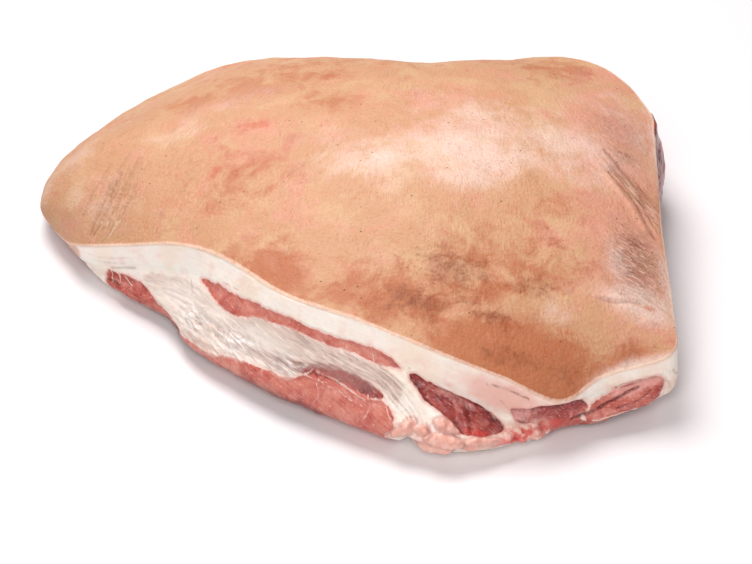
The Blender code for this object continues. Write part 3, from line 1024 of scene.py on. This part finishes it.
SPOTS = {
    # kind: strength, x, y, half length, half width, and sometimes a turn in degrees
    "red": ((1.3, -87, 3, 7, 3.5, 50), (0.5, -94, -4, 14, 6, 50), (1.0, -61, 41, 14, 5, 12),
        (0.5, -78, 16, 12, 4, 60), (0.4, -28, 8, 3, 8), (0.5, 47, 89, 4, 2, 60), (0.4, 74, 77, 3, 2, 40),
        (0.7, 184, -102, 8, 2.6), (0.5, 155, -67, 6, 5), (0.5, 147, -22, 4, 3), (0.6, 117, -136, 5, 4),
        (0.5, 96, -124, 4, 3), (0.4, 104, -70, 3, 2), (0.4, -104, 0, 3, 2)),
    "flush": ((0.9, -94, -4, 18, 9, 50), (0.9, -60, 38, 20, 9, 12), (0.7, -62, 20, 55, 34, -25),
        (0.6, -46, -30, 50, 24, -20), (0.7, 60, 20, 60, 24), (0.7, 50, 60, 60, 24), (1.2, 172, 40, 36, 76),
        (1.1, 176, -56, 44, 70), (0.8, 190, -110, 30, 30), (1.1, 172, -138, 36, 8, 17),
        (1.0, 201, 50, 12, 80), (0.8, 176, 130, 30, 30), (0.7, 140, -60, 40, 20, 10),
        (1.0, 184, -105, 14, 6)),
    # pallor: pale patches of skin, and painted sheen where the top catches the light, and painted highlights
    # beside creases
    "pallor": ((0.62, 16, -2, 54, 30, -14), (0.85, 78, 8, 52, 42, -6), (0.9, 76, -22, 34, 14),
        (0.8, 108, 6, 26, 22), (0.5, 176, 70, 24, 40), (0.8, 167, -74, 10, 18), (0.6, 84, 44, 60, 26, -10),
        (0.7, 140, 20, 40, 40), (0.6, 126, -114, 14, 10), (1.1, 201, -82, 9, 34, 6),
        (0.45, -160, 6, 44, 26, -40), (0.4, -190, 60, 40, 26, 30), (0.5, -100, 60, 50, 20, 20),
        (1.3, 178, -99, 28, 14), (0.5, 192, 56, 14, 30), (1.3, 176, -138, 34, 5, 17),
        (0.5, 202, 60, 8, 70)),
    "dusk": ((1.1, -40, -90, 40, 20, -32), (0.6, -62, 0, 50, 36), (0.6, -80, 85, 60, 30),
        (0.6, -30, 98, 70, 18), (0.6, -18, 63, 34, 16), (0.45, -46, 26, 28, 16), (1.0, 86, -106, 28, 12),
        (1.0, 30, -112, 60, 26, -14), (1.5, 104, -142, 62, 26, -6), (1.0, 170, -136, 30, 14, 14),
        (0.7, 100, -82, 60, 22), (0.6, 126, -36, 24, 16), (0.5, 90, -58, 40, 18),
        (0.35, 181, -60, 12, 18, 6), (0.35, 186, -14, 6, 24, 38), (0.3, -190, 80, 30, 30),
        (0.45, -20, 130, 110, 28, 4), (0.6, 130, 130, 60, 26)),
    "hatch": ((1.1, 179, -70, 15, 24), (0.5, 180, 26, 14, 10), (0.4, 180, 52, 22, 26)),
    "pleat": ((1.0, 185, -8, 9, 28, 36), (0.28, -154, 10, 18, 30, -30)),
    "brown": ((0.9, 178, 27, 9, 4, 10), (0.7, 182, -54, 11, 7, -20), (0.4, 180, -74, 8, 12),
        (1.0, 62, -92, 34, 15, -14), (1.0, 40, -114, 26, 14, -8), (0.9, 84, -120, 22, 9, -20),
        (0.8, 112, -100, 20, 9, -10), (0.8, 96, -142, 30, 9, -4), (0.6, 132, -146, 30, 9, 8),
        (0.6, 168, -130, 24, 7, 14), (0.5, 134, -76, 22, 12), (0.4, -90, -64, 26, 9, -30),
        (0.3, -95, 138, 20, 9), (0.3, -66, 118, 14, 6), (0.3, -170, 60, 20, 10, 30)),
}
HAIR_ROOT = (60, 295)
print(len(CREASES), "creases and", sum(map(len, SPOTS.values())), "spots")

# %% Read the skin's marks at any point
def creases_near(flat):
    """Each crease's width and height, and how near to it every point lies, from 0 to 1."""
    x, y = flat[..., 0] + 0.5 * uneven(flat, 8, 104), flat[..., 1]
    for width, height, run in CREASES:
        yield width, height, np.exp(-(gap_to_run(smooth_run(run), x, y) / width)**2)


def skin_spot(x, y, strength, spot_x, spot_y, length, width, turn=0):
    """A soft long spot on the skin."""
    c, s = math.cos(math.radians(turn)), math.sin(math.radians(turn))
    u = ((x - spot_x) * c + (y - spot_y) * s) / length
    v = ((y - spot_y) * c - (x - spot_x) * s) / width
    return strength * np.exp(-u * u - v * v)


def read_skin(points, inward=0.0):
    """The colours of the spots and the painted shade of the folds, which fades near the rim."""
    flat = points[..., :2]
    numbers = {kind: np.max([skin_spot(flat[..., 0], flat[..., 1], *size) for size in spots], axis=0)
               for kind, spots in SPOTS.items()}
    folds = [near * min(1, -height / 2) * min(1, 1.4 / width)
             for width, height, near in creases_near(flat) if height < 0]
    # painted shade in the folds, weaker near the rim
    numbers["fold"] = np.max(folds, axis=0) * (0.3 + 0.7 * smooth(inward, 1, 9))
    return numbers


def skin_relief(points, inward):
    """How far the skin stands out: slow dents, small unevenness, creases and folds."""
    flat = points[..., :2]
    relief = rough(flat, (1.1, 52, 101), (0.45, 19, 102), (0.18, 7, 103))
    free = 0.15 + 0.85 * smooth(inward, 1, 12)
    for _, height, near in creases_near(flat):
        relief += height * free * near
    return np.maximum(relief, -0.6 - 0.2 * inward)


def hair_ruler(points):
    """Millimetres along and across the hair, which fans out from one far point."""
    x, y = points[..., 0] - HAIR_ROOT[0], points[..., 1] - HAIR_ROOT[1]
    return np.stack([np.hypot(x, y), np.arctan2(x, -y) * HAIR_ROOT[1], points[..., 2] * 0.2], -1)


print("the hair fans out from", HAIR_ROOT, "mm")

# %% [markdown]
# Rings of points crowd together at the crown, which wastes them where nothing happens
# and shows as a star in the shading. A square grid bent into the outline keeps its
# cells nearly even instead: each square ring of the grid becomes one ring of the skin.
# The rim is rounded with a short curve, and the hidden underside closes the piece.

# %% Build the rind
GRID = 268
RIM = 1.6
RIM_STEPS = 5
RIM_OUT = 0.2
RIM_INSIDE = 0.8
RELIEF_LOST = 0.6
RIND_UNDERSIDE = (0.98, 0.85, 0.6, 0.3)


def square_rings(size):
    """For each point of a square grid, its share of the way out and its turn."""
    steps = np.linspace(-1, 1, size + 1)
    a, b = np.meshgrid(steps, steps, indexing="ij")
    share = np.maximum(np.abs(a), np.abs(b))
    safe = np.maximum(share, 1e-9)
    turn = np.select(
        [(b == -share) & (a < share), (a == share) & (b < share), (b == share) & (a > -share)],
        [(a / safe + 1) / 8, (b / safe + 3) / 8, (5 - a / safe) / 8],
        (7 - b / safe) / 8)
    return share, turn % 1


def border(grid):
    """The border of a square grid as one ring."""
    return np.concatenate([grid[:-1, 0], grid[-1, :-1], grid[:0:-1, -1], grid[0, :0:-1]])


def rind():
    """The rind over the whole joint, closed, with a rounded rim."""
    surface = Surface()
    share, turn = square_rings(GRID)
    along = turn * ROUND
    reach = np.linalg.norm(edge_at(along)[..., :2] - CROWN, axis=-1)
    share = share * (1 - RIM / reach)
    top = skin(along, share)
    out = unit(np.cross(np.gradient(top, axis=0), np.gradient(top, axis=1)))
    inward = (1 - share) * reach
    relief = out * skin_relief(top, inward)[..., None]
    index = surface.add(top + relief, {"edge": inward, **read_skin(top, inward)}, hair_ruler(top))
    surface.sheet(index)

    rim_along, shift, last = border(along), border(relief), border(top)
    sizes = edge_at(rim_along)
    lower, end = (cut_face(rim_along, depth / sizes[:, 4]) for depth in (RIM, RIND))
    out = outward(rim_along)
    rows = []
    for step in range(1, RIM_STEPS + 1):
        t = step / RIM_STEPS
        bend = (1 - t)**2 * last + 2 * t * (1 - t) * sizes[:, :3] + t**2 * lower
        rows.append(bend + out * RIM_OUT * t + shift * (1 - RELIEF_LOST * t))
    rows.append(end + out * RIM_OUT + shift * 0.3)
    rows.append(end - out * RIM_INSIDE)
    rows = np.stack(rows)
    rim_edge = -np.linspace(0.3, 2.4, len(rows))[:, None]
    rim = surface.add(rows, {"edge": rim_edge, **read_skin(rows)}, hair_ruler(rows))
    under = surface.add(np.stack([below_skin(rim_along, share, RIND) for share in RIND_UNDERSIDE]))
    surface.sheet(np.concatenate([border(index)[None], rim, under]), closed=True)
    bottom = surface.add(at_crown(CROWN_HEIGHT - RIND))
    surface.pole(under[-1], bottom[0], above=False)
    return surface.build("rind")


rind_piece = rind()

# %% [markdown]
# ## A way to write materials down
#
# A material is arithmetic on numbers and colours that change over the surface. Dragging
# wires is slow to read back, so we wrap a socket in a small class that adds, subtracts
# and multiplies: each sign makes one Math node. Everything else is made by one method,
# which sets a node up first and then gives its sockets values or wires.

# %% A wire
class Wire:
    """A socket whose number can be used in sums."""

    def __init__(self, finish, socket):
        self.finish = finish
        self.socket = socket

    def math(self, operation, first, second):
        """Add one Math node."""
        return self.finish.node("Math", {"operation": operation}, {0: first, 1: second})

    def __add__(self, other):
        return self.math("ADD", self, other)

    def __sub__(self, other):
        return self.math("SUBTRACT", self, other)

    def __rsub__(self, other):
        return self.math("SUBTRACT", other, self)

    def __mul__(self, other):
        return self.math("MULTIPLY", self, other)

    __radd__ = __add__
    __rmul__ = __mul__


print("a wire knows its sums:", [name for name in vars(Wire) if name.endswith(("add__", "sub__", "mul__"))])

# %% A finish
class Finish:
    """The nodes of one material, which end in a Principled shader."""

    def __init__(self, name, **constants):
        self.material = bpy.data.materials.new(name)
        self.material.use_nodes = True
        self.tree = self.material.node_tree
        self.shader = self.tree.nodes["Principled BSDF"]
        for key, value in constants.items():
            self.give(self.shader, key.replace("_", " "), value)

    def give(self, node, key, value):
        """Give one socket of a node a wire, a number, a colour or a direction."""
        if isinstance(key, int):
            socket = node.inputs[key]
        else:
            socket = next(s for s in node.inputs if key in (s.identifier, s.name))
        if isinstance(value, Wire):
            self.tree.links.new(value.socket, socket)
        else:
            socket.default_value = value

    def node(self, kind, settings=None, inputs=None, output=0):
        """Add a node: its settings first, then its sockets; return one of its outputs."""
        node = self.tree.nodes.new("ShaderNode" + kind)
        for key, value in (settings or {}).items():
            if key == "stops":
                ramp = node.color_ramp
                for place, colour in value[2:]:
                    ramp.elements.new(place)
                for element, (place, colour) in zip(ramp.elements, value):
                    element.position = place
                    element.color = colour
            else:
                setattr(node, key, value)
        for key, value in (inputs or {}).items():
            self.give(node, key, value)
        return Wire(self, node.outputs[output])

    def surface(self, **wires):
        """Send what changes over the surface to the shader."""
        for key, value in wires.items():
            self.give(self.shader, key.replace("_", " "), value)
        print(self.material.name, "has", len(self.tree.nodes), "nodes")
        return self.material


def tint(red, green, blue):
    """A colour as a painter reads it off a screen, 0 to 255, made linear."""
    parts = [v / 255 for v in (red, green, blue)]
    return tuple(v / 12.92 if v < 0.04045 else ((v + 0.055) / 1.055)**2.4 for v in parts) + (1.0,)


print("warm white is", [round(v, 2) for v in tint(248, 236, 230)])

# %% [markdown]
# A few kinds of node come up again and again: noise of a given size, a soft step, coats
# of colour over one another, a number carried by the mesh, noise drawn out along the
# grain, and a bump.

# %% Helpers for common nodes
def noise(finish, size, detail=3, roughness=0.55, warp=0.0, place=None):
    """Noise from 0 to 1 with bumps about one size in millimetres."""
    return finish.node("TexNoise", None, {
        "Vector": place or finish.node("TexCoord", output="Object"), "Scale": 1 / (size * MM),
        "Detail": detail, "Roughness": roughness, "Distortion": warp})


def rise(finish, value, low, high):
    """0 below low, 1 above high, with a soft step between."""
    return finish.node("MapRange", {"interpolation_type": "SMOOTHSTEP"}, {
        "Value": value, "From Min": low, "From Max": high})


def coats(finish, colour, *layers):
    """Lay coats over a colour, each given by its own colour and how much it covers."""
    for shade, amount in layers:
        colour = finish.node("Mix", {"data_type": "RGBA"}, {
            "Factor_Float": amount, "A_Color": colour, "B_Color": shade}, output=2)
    return colour


def carried(finish, name, output="Fac"):
    """A number that the mesh carries."""
    return finish.node("Attribute", {"attribute_name": name}, output=output)


def drawn_out(finish, turn, length, width, detail=3, warp=0.0):
    """Noise drawn out at a turn from the first direction of the mesh's ruler, in mm."""
    place = finish.node("Mapping", {"vector_type": "TEXTURE"}, {
        "Vector": carried(finish, "ruler", "Vector"), "Rotation": (0, 0, turn),
        "Scale": (length, width, width)})
    return noise(finish, 1 / MM, detail, warp=warp, place=place)


def tilts(finish, *layers):
    """Turn heights from 0 to 1 into a tilt of the surface, each so many millimetres deep."""
    tilt = None
    for height, depth_mm in layers:
        inputs = {"Height": height, "Distance": depth_mm * MM}
        if tilt:
            inputs["Normal"] = tilt
        tilt = finish.node("Bump", None, inputs)
    return tilt


print("noise with bumps of 4 mm needs a scale of", round(1 / (4 * MM)))

# %% [markdown]
# ## The finish of the cut
#
# Raw flesh is wet and lets light in a little way, so its colours look soft and its
# highlights small and sharp; a few glints and some sheen are painted into the colour
# as well. The colour is laid on from the bottom up: fat and lean first, then
# silverskin, trimmed nubs of fat and cords, and last the torn bit, the painted shade in
# the seams and the painted shadow at the foot. The fat and the meat use the same
# recipe, because their colours cross from one piece to the other without a line.

# %% Colours of the cut side
WHITE_FAT = tint(247, 235, 225)
CREAM_FAT = tint(244, 224, 206)
PINK_FAT = tint(240, 208, 198)
BLUSH_AND_SHADE = tint(230, 174, 160)
LEAN_STOPS = (
    # darkness, colour
    (0.0, tint(214, 136, 118)),
    (0.3, tint(198, 104, 90)),
    (0.55, tint(172, 74, 66)),
    (0.8, tint(142, 48, 48)),
    (1.0, tint(100, 32, 32)),
)
FILM_AND_SHEEN = tint(240, 174, 164)
SILVER_PINK = tint(218, 188, 174)
SILVER_GREY_AND_CRINKLE_SHADE = tint(176, 142, 132)
SILVER_WHITE = tint(242, 230, 220)
SILVER_CRINKLE_HIGHLIGHT = tint(255, 250, 246)
CORD_WHITE = tint(236, 212, 198)
NUB_PINK = tint(220, 158, 142)
NUB_WHITE = tint(236, 190, 176)
NUB_EDGE_AND_SHADE = tint(178, 96, 84)
VEIL = tint(158, 112, 106)
SHADOW_RED = tint(70, 18, 16)
PAINTED_FOOT_SHADE = tint(104, 34, 28)
TORN_RED = tint(218, 72, 60)
TURNED_SKIN = tint(214, 160, 132)
WET_RED = tint(206, 66, 60)
PAINTED_GLINT = tint(250, 222, 212)
LEAN_RIM = tint(230, 164, 152)
print(len(LEAN_STOPS), "reds from pale to dark, the darkest", [round(v, 3) for v in LEAN_STOPS[-1][1]])

# %% Finish for the cut side
def cut_finish(name):
    """Fat, lean, silverskin and all that lies on them."""
    f = Finish(name, Subsurface_Weight=0.2, Subsurface_Radius=(1.0, 0.35, 0.25), Subsurface_Scale=0.003,
               IOR=1.42, Coat_Roughness=0.16, Coat_IOR=1.36)
    grain = noise(f, 2.2, 4)
    patch = noise(f, 9, 3)
    broad = noise(f, 26, 2)

    layered = drawn_out(f, 0.05, 30, 2.4, 3, 0.8)
    fat_colour = coats(
        f, WHITE_FAT,
        (CREAM_FAT, rise(f, broad, 0.45, 0.7)),
        (PINK_FAT, rise(f, patch, 0.5, 0.75) * 0.6),
        (PINK_FAT, rise(f, layered, 0.5, 0.75) * 0.3),
        (BLUSH_AND_SHADE, rise(f, carried(f, "blush") + (patch - 0.5) * 0.5, 0.1, 1.0) * 0.85),
        (NUB_PINK, rise(f, carried(f, "pink") + (grain - 0.5) * 1.2, 0.1, 1.1) * 0.7))

    inside = carried(f, "lean") + (noise(f, 3.2, 3) - 0.5) * 2.6
    is_lean = rise(f, inside, -0.5, 0.6)
    streak = drawn_out(f, 0.35, 14, 1.3, 4, 0.5)
    dark = carried(f, "dark") + (patch - 0.5) * 1.1 + (broad - 0.5) * 0.7 + (streak - 0.5) * 0.7
    # painted shade: the lean darkens within 4 mm of a muscle's edge
    dark = dark + (1 - rise(f, inside, 0.0, 4.0)) * 0.1
    wet_red = rise(f, carried(f, "blood") + (noise(f, 4, 3) - 0.5) * 0.8, 0.15, 0.8)
    film_and_sheen_amount = rise(f, carried(f, "film") + (noise(f, 3, 4, 0.65) - 0.5) * 1.6, 0.15, 1.0)
    lean_colour = coats(
        f, f.node("ValToRGB", {"stops": LEAN_STOPS}, {"Fac": dark}),
        # painted sheen: pale wet patches of film colour scattered over the lean
        (FILM_AND_SHEEN, rise(f, noise(f, 7, 4, 0.6, warp=0.8), 0.5, 0.75) * 0.3),
        (WET_RED, wet_red * 0.85),
        (FILM_AND_SHEEN, film_and_sheen_amount * 0.7),
        # painted glints: small white highlights drawn along the grain
        (PAINTED_GLINT, rise(f, drawn_out(f, 0.3, 3.0, 0.9, 4), 0.6, 0.7) * 0.55),
        (FILM_AND_SHEEN, rise(f, drawn_out(f, 0.9, 9, 0.6, 4, 0.8), 0.6, 0.7) * 0.4))

    fibre = drawn_out(f, 0.14, 17, 1.5, 4, 0.4)
    strand = drawn_out(f, 0.3, 12, 0.7, 3, 0.3)
    cloud = drawn_out(f, 0.2, 22, 6.0, 3, 0.5)
    crinkle = drawn_out(f, 0.22, 7.5, 1.5, 6, 1.0)
    heart = carried(f, "heart")
    has_silver = rise(f, carried(f, "silver") + (noise(f, 4, 3) - 0.5) * 4, -3.0, 0.6)
    silver_colour = coats(
        f, SILVER_PINK,
        (SILVER_GREY_AND_CRINKLE_SHADE, rise(f, cloud, 0.45, 0.65) * 0.7),
        (SILVER_GREY_AND_CRINKLE_SHADE, rise(f, fibre, 0.5, 0.68) * 0.6),
        (SILVER_WHITE, rise(f, strand, 0.5, 0.64) * 0.75),
        (WHITE_FAT, carried(f, "cream") * 0.85),
        # painted highlights on the crinkles at the silverskin's thickest places, and painted shade between
        # them
        (SILVER_CRINKLE_HIGHLIGHT, rise(f, crinkle, 0.48, 0.6) * heart),
        (SILVER_GREY_AND_CRINKLE_SHADE, (1 - rise(f, crinkle, 0.34, 0.44)) * heart))

    nub = carried(f, "nub") + (grain - 0.5) * 1.6
    nub_colour = coats(
        f, NUB_PINK,
        (NUB_WHITE, rise(f, noise(f, 5.5, 3, 0.5), 0.3, 0.7)),
        (NUB_PINK, rise(f, grain, 0.52, 0.7) * 0.4))

    veil = rise(f, carried(f, "veil") + (fibre - 0.5) * 1.2 + (patch - 0.5) * 0.8, 0.3, 0.9)
    pale = carried(f, "pale") + (strand - 0.5) * 0.5
    lumps = carried(f, "lump") + (noise(f, 3.0, 4, 0.6) - 0.5) * 3.0
    torn = carried(f, "torn")
    broken = 0.55 + rise(f, noise(f, 1.3, 2), 0.4, 0.6) * 0.45
    colour = coats(
        f, fat_colour,
        (lean_colour, is_lean),
        (LEAN_RIM, rise(f, inside, -2.4, -0.4) * (1 - is_lean) * 0.5),
        (silver_colour, has_silver * (0.86 - rise(f, patch, 0.45, 0.7) * 0.3)),
        (VEIL, veil * 0.6),
        # reddish edge round each nub, with painted shade in the crevice where it meets the face
        (NUB_EDGE_AND_SHADE, rise(f, nub, -2.4, -0.2) * 0.5),
        (nub_colour, rise(f, nub, -0.5, 0.9)),
        (CORD_WHITE, rise(f, pale, 0.3, 0.9) * 0.85),
        (NUB_WHITE, torn * 0.95),
        (TORN_RED, torn * (1 - rise(f, lumps, -0.6, 0.1)) * 0.75),
        (WET_RED, wet_red * (1 - is_lean) * 0.75),
        (SHADOW_RED, carried(f, "shade") * broken * 0.85),
        (TURNED_SKIN, rise(f, carried(f, "turned") + (patch - 0.5) * 0.8, 0.45, 0.95) * 0.9),
        # painted shadow at the foot of the face
        (PAINTED_FOOT_SHADE, rise(f, carried(f, "foot") + (patch - 0.5) * 0.8, 0.35, 1.0) * 0.8))

    wet = rise(f, noise(f, 11, 2), 0.45, 0.62)
    roughness = 0.42 + is_lean * -0.08 + (grain - 0.5) * 0.25
    tilt = tilts(f, (grain, 0.4), (fibre * has_silver, 0.4), (streak * is_lean, 0.4), (crinkle * heart, 0.7))
    return f.surface(Base_Color=colour, Roughness=roughness, Coat_Weight=0.1 + wet * 0.25, Normal=tilt)


meat_piece.data.materials.append(cut_finish("raw meat"))
fat_piece.data.materials.append(cut_finish("raw fat"))

# %% [markdown]
# ## The finish of the rind
#
# Scalded and scraped pig skin is tan with orange, pink and brown patches, covered with
# fine hair marks that all run one way, and dotted with pores. It is leathery, drier
# than the cut, with a faint sheen on top from a thin coat; part of that sheen is painted
# into the colour as pale patches, and the fine wrinkles get painted highlights and shade.
# The patches come from the mesh as soft spots, and the hair marks from noise drawn out
# along the ruler that follows the hair.

# %% Colours of the rind
TAN = tint(200, 149, 113)
YELLOW_TAN = tint(205, 160, 122)
ORANGE = tint(204, 126, 88)
DUSKY = tint(178, 100, 62)
BROWN_AND_SHADE = tint(130, 66, 38)
DARK_BROWN = tint(104, 48, 26)
SKIN_PINK = tint(216, 147, 127)
PALE_SKIN_AND_HIGHLIGHT = tint(229, 198, 184)
RED_MARK = tint(190, 88, 54)
CUT_RIND = tint(242, 206, 186)
PORE = tint(70, 36, 28)
PORE_CELL = 8
DIMPLE = 2.2
print("the rind has pores about", PORE_CELL, "mm apart and dimples of", DIMPLE, "mm")

# %% Finish for the rind
def rind_finish():
    """Tan skin with patches, hair marks, pores and a cream cut edge."""
    f = Finish("raw rind", Subsurface_Weight=0.15, Subsurface_Radius=(1.0, 0.45, 0.25),
               Subsurface_Scale=0.0025, IOR=1.42, Specular_IOR_Level=0.4, Coat_Roughness=0.3)
    hair = drawn_out(f, 0.0, 6.0, 0.8, 4)
    coarse = drawn_out(f, 0.0, 12.0, 2.6, 4)
    broad = noise(f, 38, 4, 0.6) - 0.5
    patch = noise(f, 17, 6, 0.66, warp=0.5) - 0.5
    small = noise(f, 6.5, 5, 0.7) - 0.5
    fine = noise(f, 1.6, 4, 0.7)
    marked = rise(f, noise(f, 28, 3), 0.42, 0.6)

    is_dusk = rise(f, carried(f, "dusk") + broad * 1.5 + patch * 2.2, 0.2, 1.0)
    pallor = carried(f, "pallor") + broad * 1.2 + patch * 1.2 + (coarse - 0.5) * 0.4
    brown = carried(f, "brown") + patch * 2.5 + small * 2.0
    flecks = carried(f, "brown") + small * 4.5 + (fine - 0.5) * 3.5
    red = carried(f, "red") + small * 1.6 + patch * 0.8

    place = f.node("TexCoord", output="Object")
    grid = {"Vector": place, "Scale": 1 / (PORE_CELL * MM)}
    distance = f.node("TexVoronoi", None, grid, output="Distance")
    kind = f.node("SeparateColor", None, {"Color": f.node("TexVoronoi", None, grid, output="Color")})
    crowded = carried(f, "brown") * 0.3 + broad * 0.6
    pores = (1 - rise(f, distance, 0.03, 0.09)) * rise(f, kind + crowded, 0.52, 0.56)

    pleats, has_pleats = drawn_out(f, 0.23, 22, 1.3, 3, 0.3), carried(f, "pleat")
    hatches, has_hatches = drawn_out(f, 0.78, 6, 0.9, 3, 0.5), carried(f, "hatch")
    # wrinkles marks the crests of the fine wrinkles and creased their hollows; besides the bump, the crests
    # get a painted highlight and the hollows painted shade
    wrinkles = rise(f, pleats, 0.44, 0.6) * has_pleats + rise(f, hatches, 0.44, 0.6) * has_hatches
    creased = ((1 - rise(f, pleats, 0.36, 0.5)) * has_pleats
               + (1 - rise(f, hatches, 0.38, 0.52)) * has_hatches)
    side = 1 - rise(f, carried(f, "edge") + (fine - 0.5) * 2.4 + small * 3.0, -2.0, 1.4)
    colour = coats(
        f, TAN,
        (YELLOW_TAN, rise(f, broad, -0.05, 0.1)),
        (SKIN_PINK, rise(f, noise(f, 23, 5, 0.62), 0.5, 0.7) * 0.5),
        (ORANGE, rise(f, patch, 0.02, 0.2) * 0.35),
        (SKIN_PINK, rise(f, carried(f, "flush") + patch * 2.0, 0.25, 1.1) * 0.75),
        (DUSKY, is_dusk * 0.85),
        # pale patches of skin, together with painted sheen on the top and painted highlights by creases
        (PALE_SKIN_AND_HIGHLIGHT, rise(f, pallor, 0.1, 1.1) * 0.8),
        (BROWN_AND_SHADE, rise(f, brown, 0.3, 1.3) * 0.6),
        (DARK_BROWN, rise(f, flecks, 1.0, 1.8) * 0.42),
        (PALE_SKIN_AND_HIGHLIGHT, rise(f, hair, 0.54, 0.7) * marked * (0.22 - is_dusk * 0.12)),
        (DUSKY, (1 - rise(f, hair, 0.32, 0.46)) * marked * 0.38),
        (DUSKY, rise(f, coarse, 0.52, 0.7) * 0.12),
        (DUSKY, rise(f, fine, 0.5, 0.72) * 0.35),
        (RED_MARK, rise(f, red, 0.15, 1.2) * 0.6),
        (PORE, pores * 0.7),
        (PALE_SKIN_AND_HIGHLIGHT, wrinkles * 0.36),
        (BROWN_AND_SHADE, creased * 0.36),
        # painted shade in the folds
        (BROWN_AND_SHADE, carried(f, "fold") * 0.7),
        (CUT_RIND, side * 0.9))

    dimples = f.node("TexVoronoi", {"feature": "SMOOTH_F1"}, {
        "Vector": place, "Scale": 1 / (DIMPLE * MM), "Smoothness": 0.4})
    tilt = tilts(f, (hair, 0.32), (dimples, 0.3), (fine, 0.28), (1 - pores, 0.3), (wrinkles - creased, 0.5))
    roughness = 0.55 + (fine - 0.5) * 0.4 + pores * 0.1
    sheen = 0.03 + rise(f, pallor, 0.3, 1.0) * 0.16
    return f.surface(Base_Color=colour, Roughness=roughness, Coat_Weight=sheen, Normal=tilt)


rind_piece.data.materials.append(rind_finish())

# %% [markdown]
# ## Floor and light
#
# The joint lies on a plain pale floor. Food is usually lit softly and from all round:
# one large lamp high up behind gives the skin its sheen, and a wide fill from the front
# keeps the cut side readable. The floor lies half a millimetre lower than the joint's
# flat underside, so that the two faces don't lie in the same place.

# %% Lay the floor
HALF_FLOOR = 3
GAP_ABOVE_FLOOR = 0.0005
corners = [(x * HALF_FLOOR, y * HALF_FLOOR, 0) for x, y in ((-1, -1), (1, -1), (1, 1), (-1, 1))]
floor_mesh = bpy.data.meshes.new("floor")
floor_mesh.from_pydata(corners, [], [(0, 1, 2, 3)])
floor = bpy.data.objects.new("floor", floor_mesh)
floor.location.z = -GAP_ABOVE_FLOOR
bpy.context.scene.collection.objects.link(floor)
paper = Finish("pale floor", Roughness=0.24, Base_Color=tint(238, 232, 233))
floor_mesh.materials.append(paper.surface())
floor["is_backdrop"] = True

# %% Hang the lamps
LAMPS = (
    # name, place, aim, size in metres, watts
    ("sky lamp", (-0.24, 0.62, 1.3), (0, 0, 0.05), 0.9, 22),
    ("front fill", (-0.1, -1.25, 1.15), (0, 0, 0.03), 1.1, 17),
)
ROOM_LIGHT = 0.22
for name, place, aim, size, power in LAMPS:
    light = bpy.data.lights.new(name, "AREA")
    light.shape = "DISK"
    light.size = size
    light.energy = power
    holder = bpy.data.objects.new(name, light)
    holder.location = place
    back = np.array(place) - np.array(aim)
    tip = math.atan2(math.hypot(back[0], back[1]), back[2])
    holder.rotation_euler = (tip, 0, math.atan2(back[0], -back[1]))
    bpy.context.scene.collection.objects.link(holder)
world = bpy.data.worlds.new("soft studio")
world.use_nodes = True
world.node_tree.nodes["Background"].inputs["Color"].default_value = (1, 1, 1, 1)
world.node_tree.nodes["Background"].inputs["Strength"].default_value = ROOM_LIGHT
bpy.context.scene.world = world
bpy.context.scene.view_settings.view_transform = "Standard"
print(len(LAMPS), "lamps and a white room")

# %% [markdown]
# ## Hand the pieces over
#
# Each piece rides on the one body of the joint and stands for the plain solid that it
# was built around. The boxes before and after show that the relief adds 3 mm at most.

for piece, node, finish_slot in (
        (rind_piece, "fat_cap", "rind"), (fat_piece, "fat_cap", "fat"), (meat_piece, "lean", "lean")):
    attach(piece, "root")
    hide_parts(node)

new_box = [list(corner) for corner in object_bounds()]
print("the finished joint's box, mm:", [[round(v / MM, 1) for v in corner] for corner in new_box])
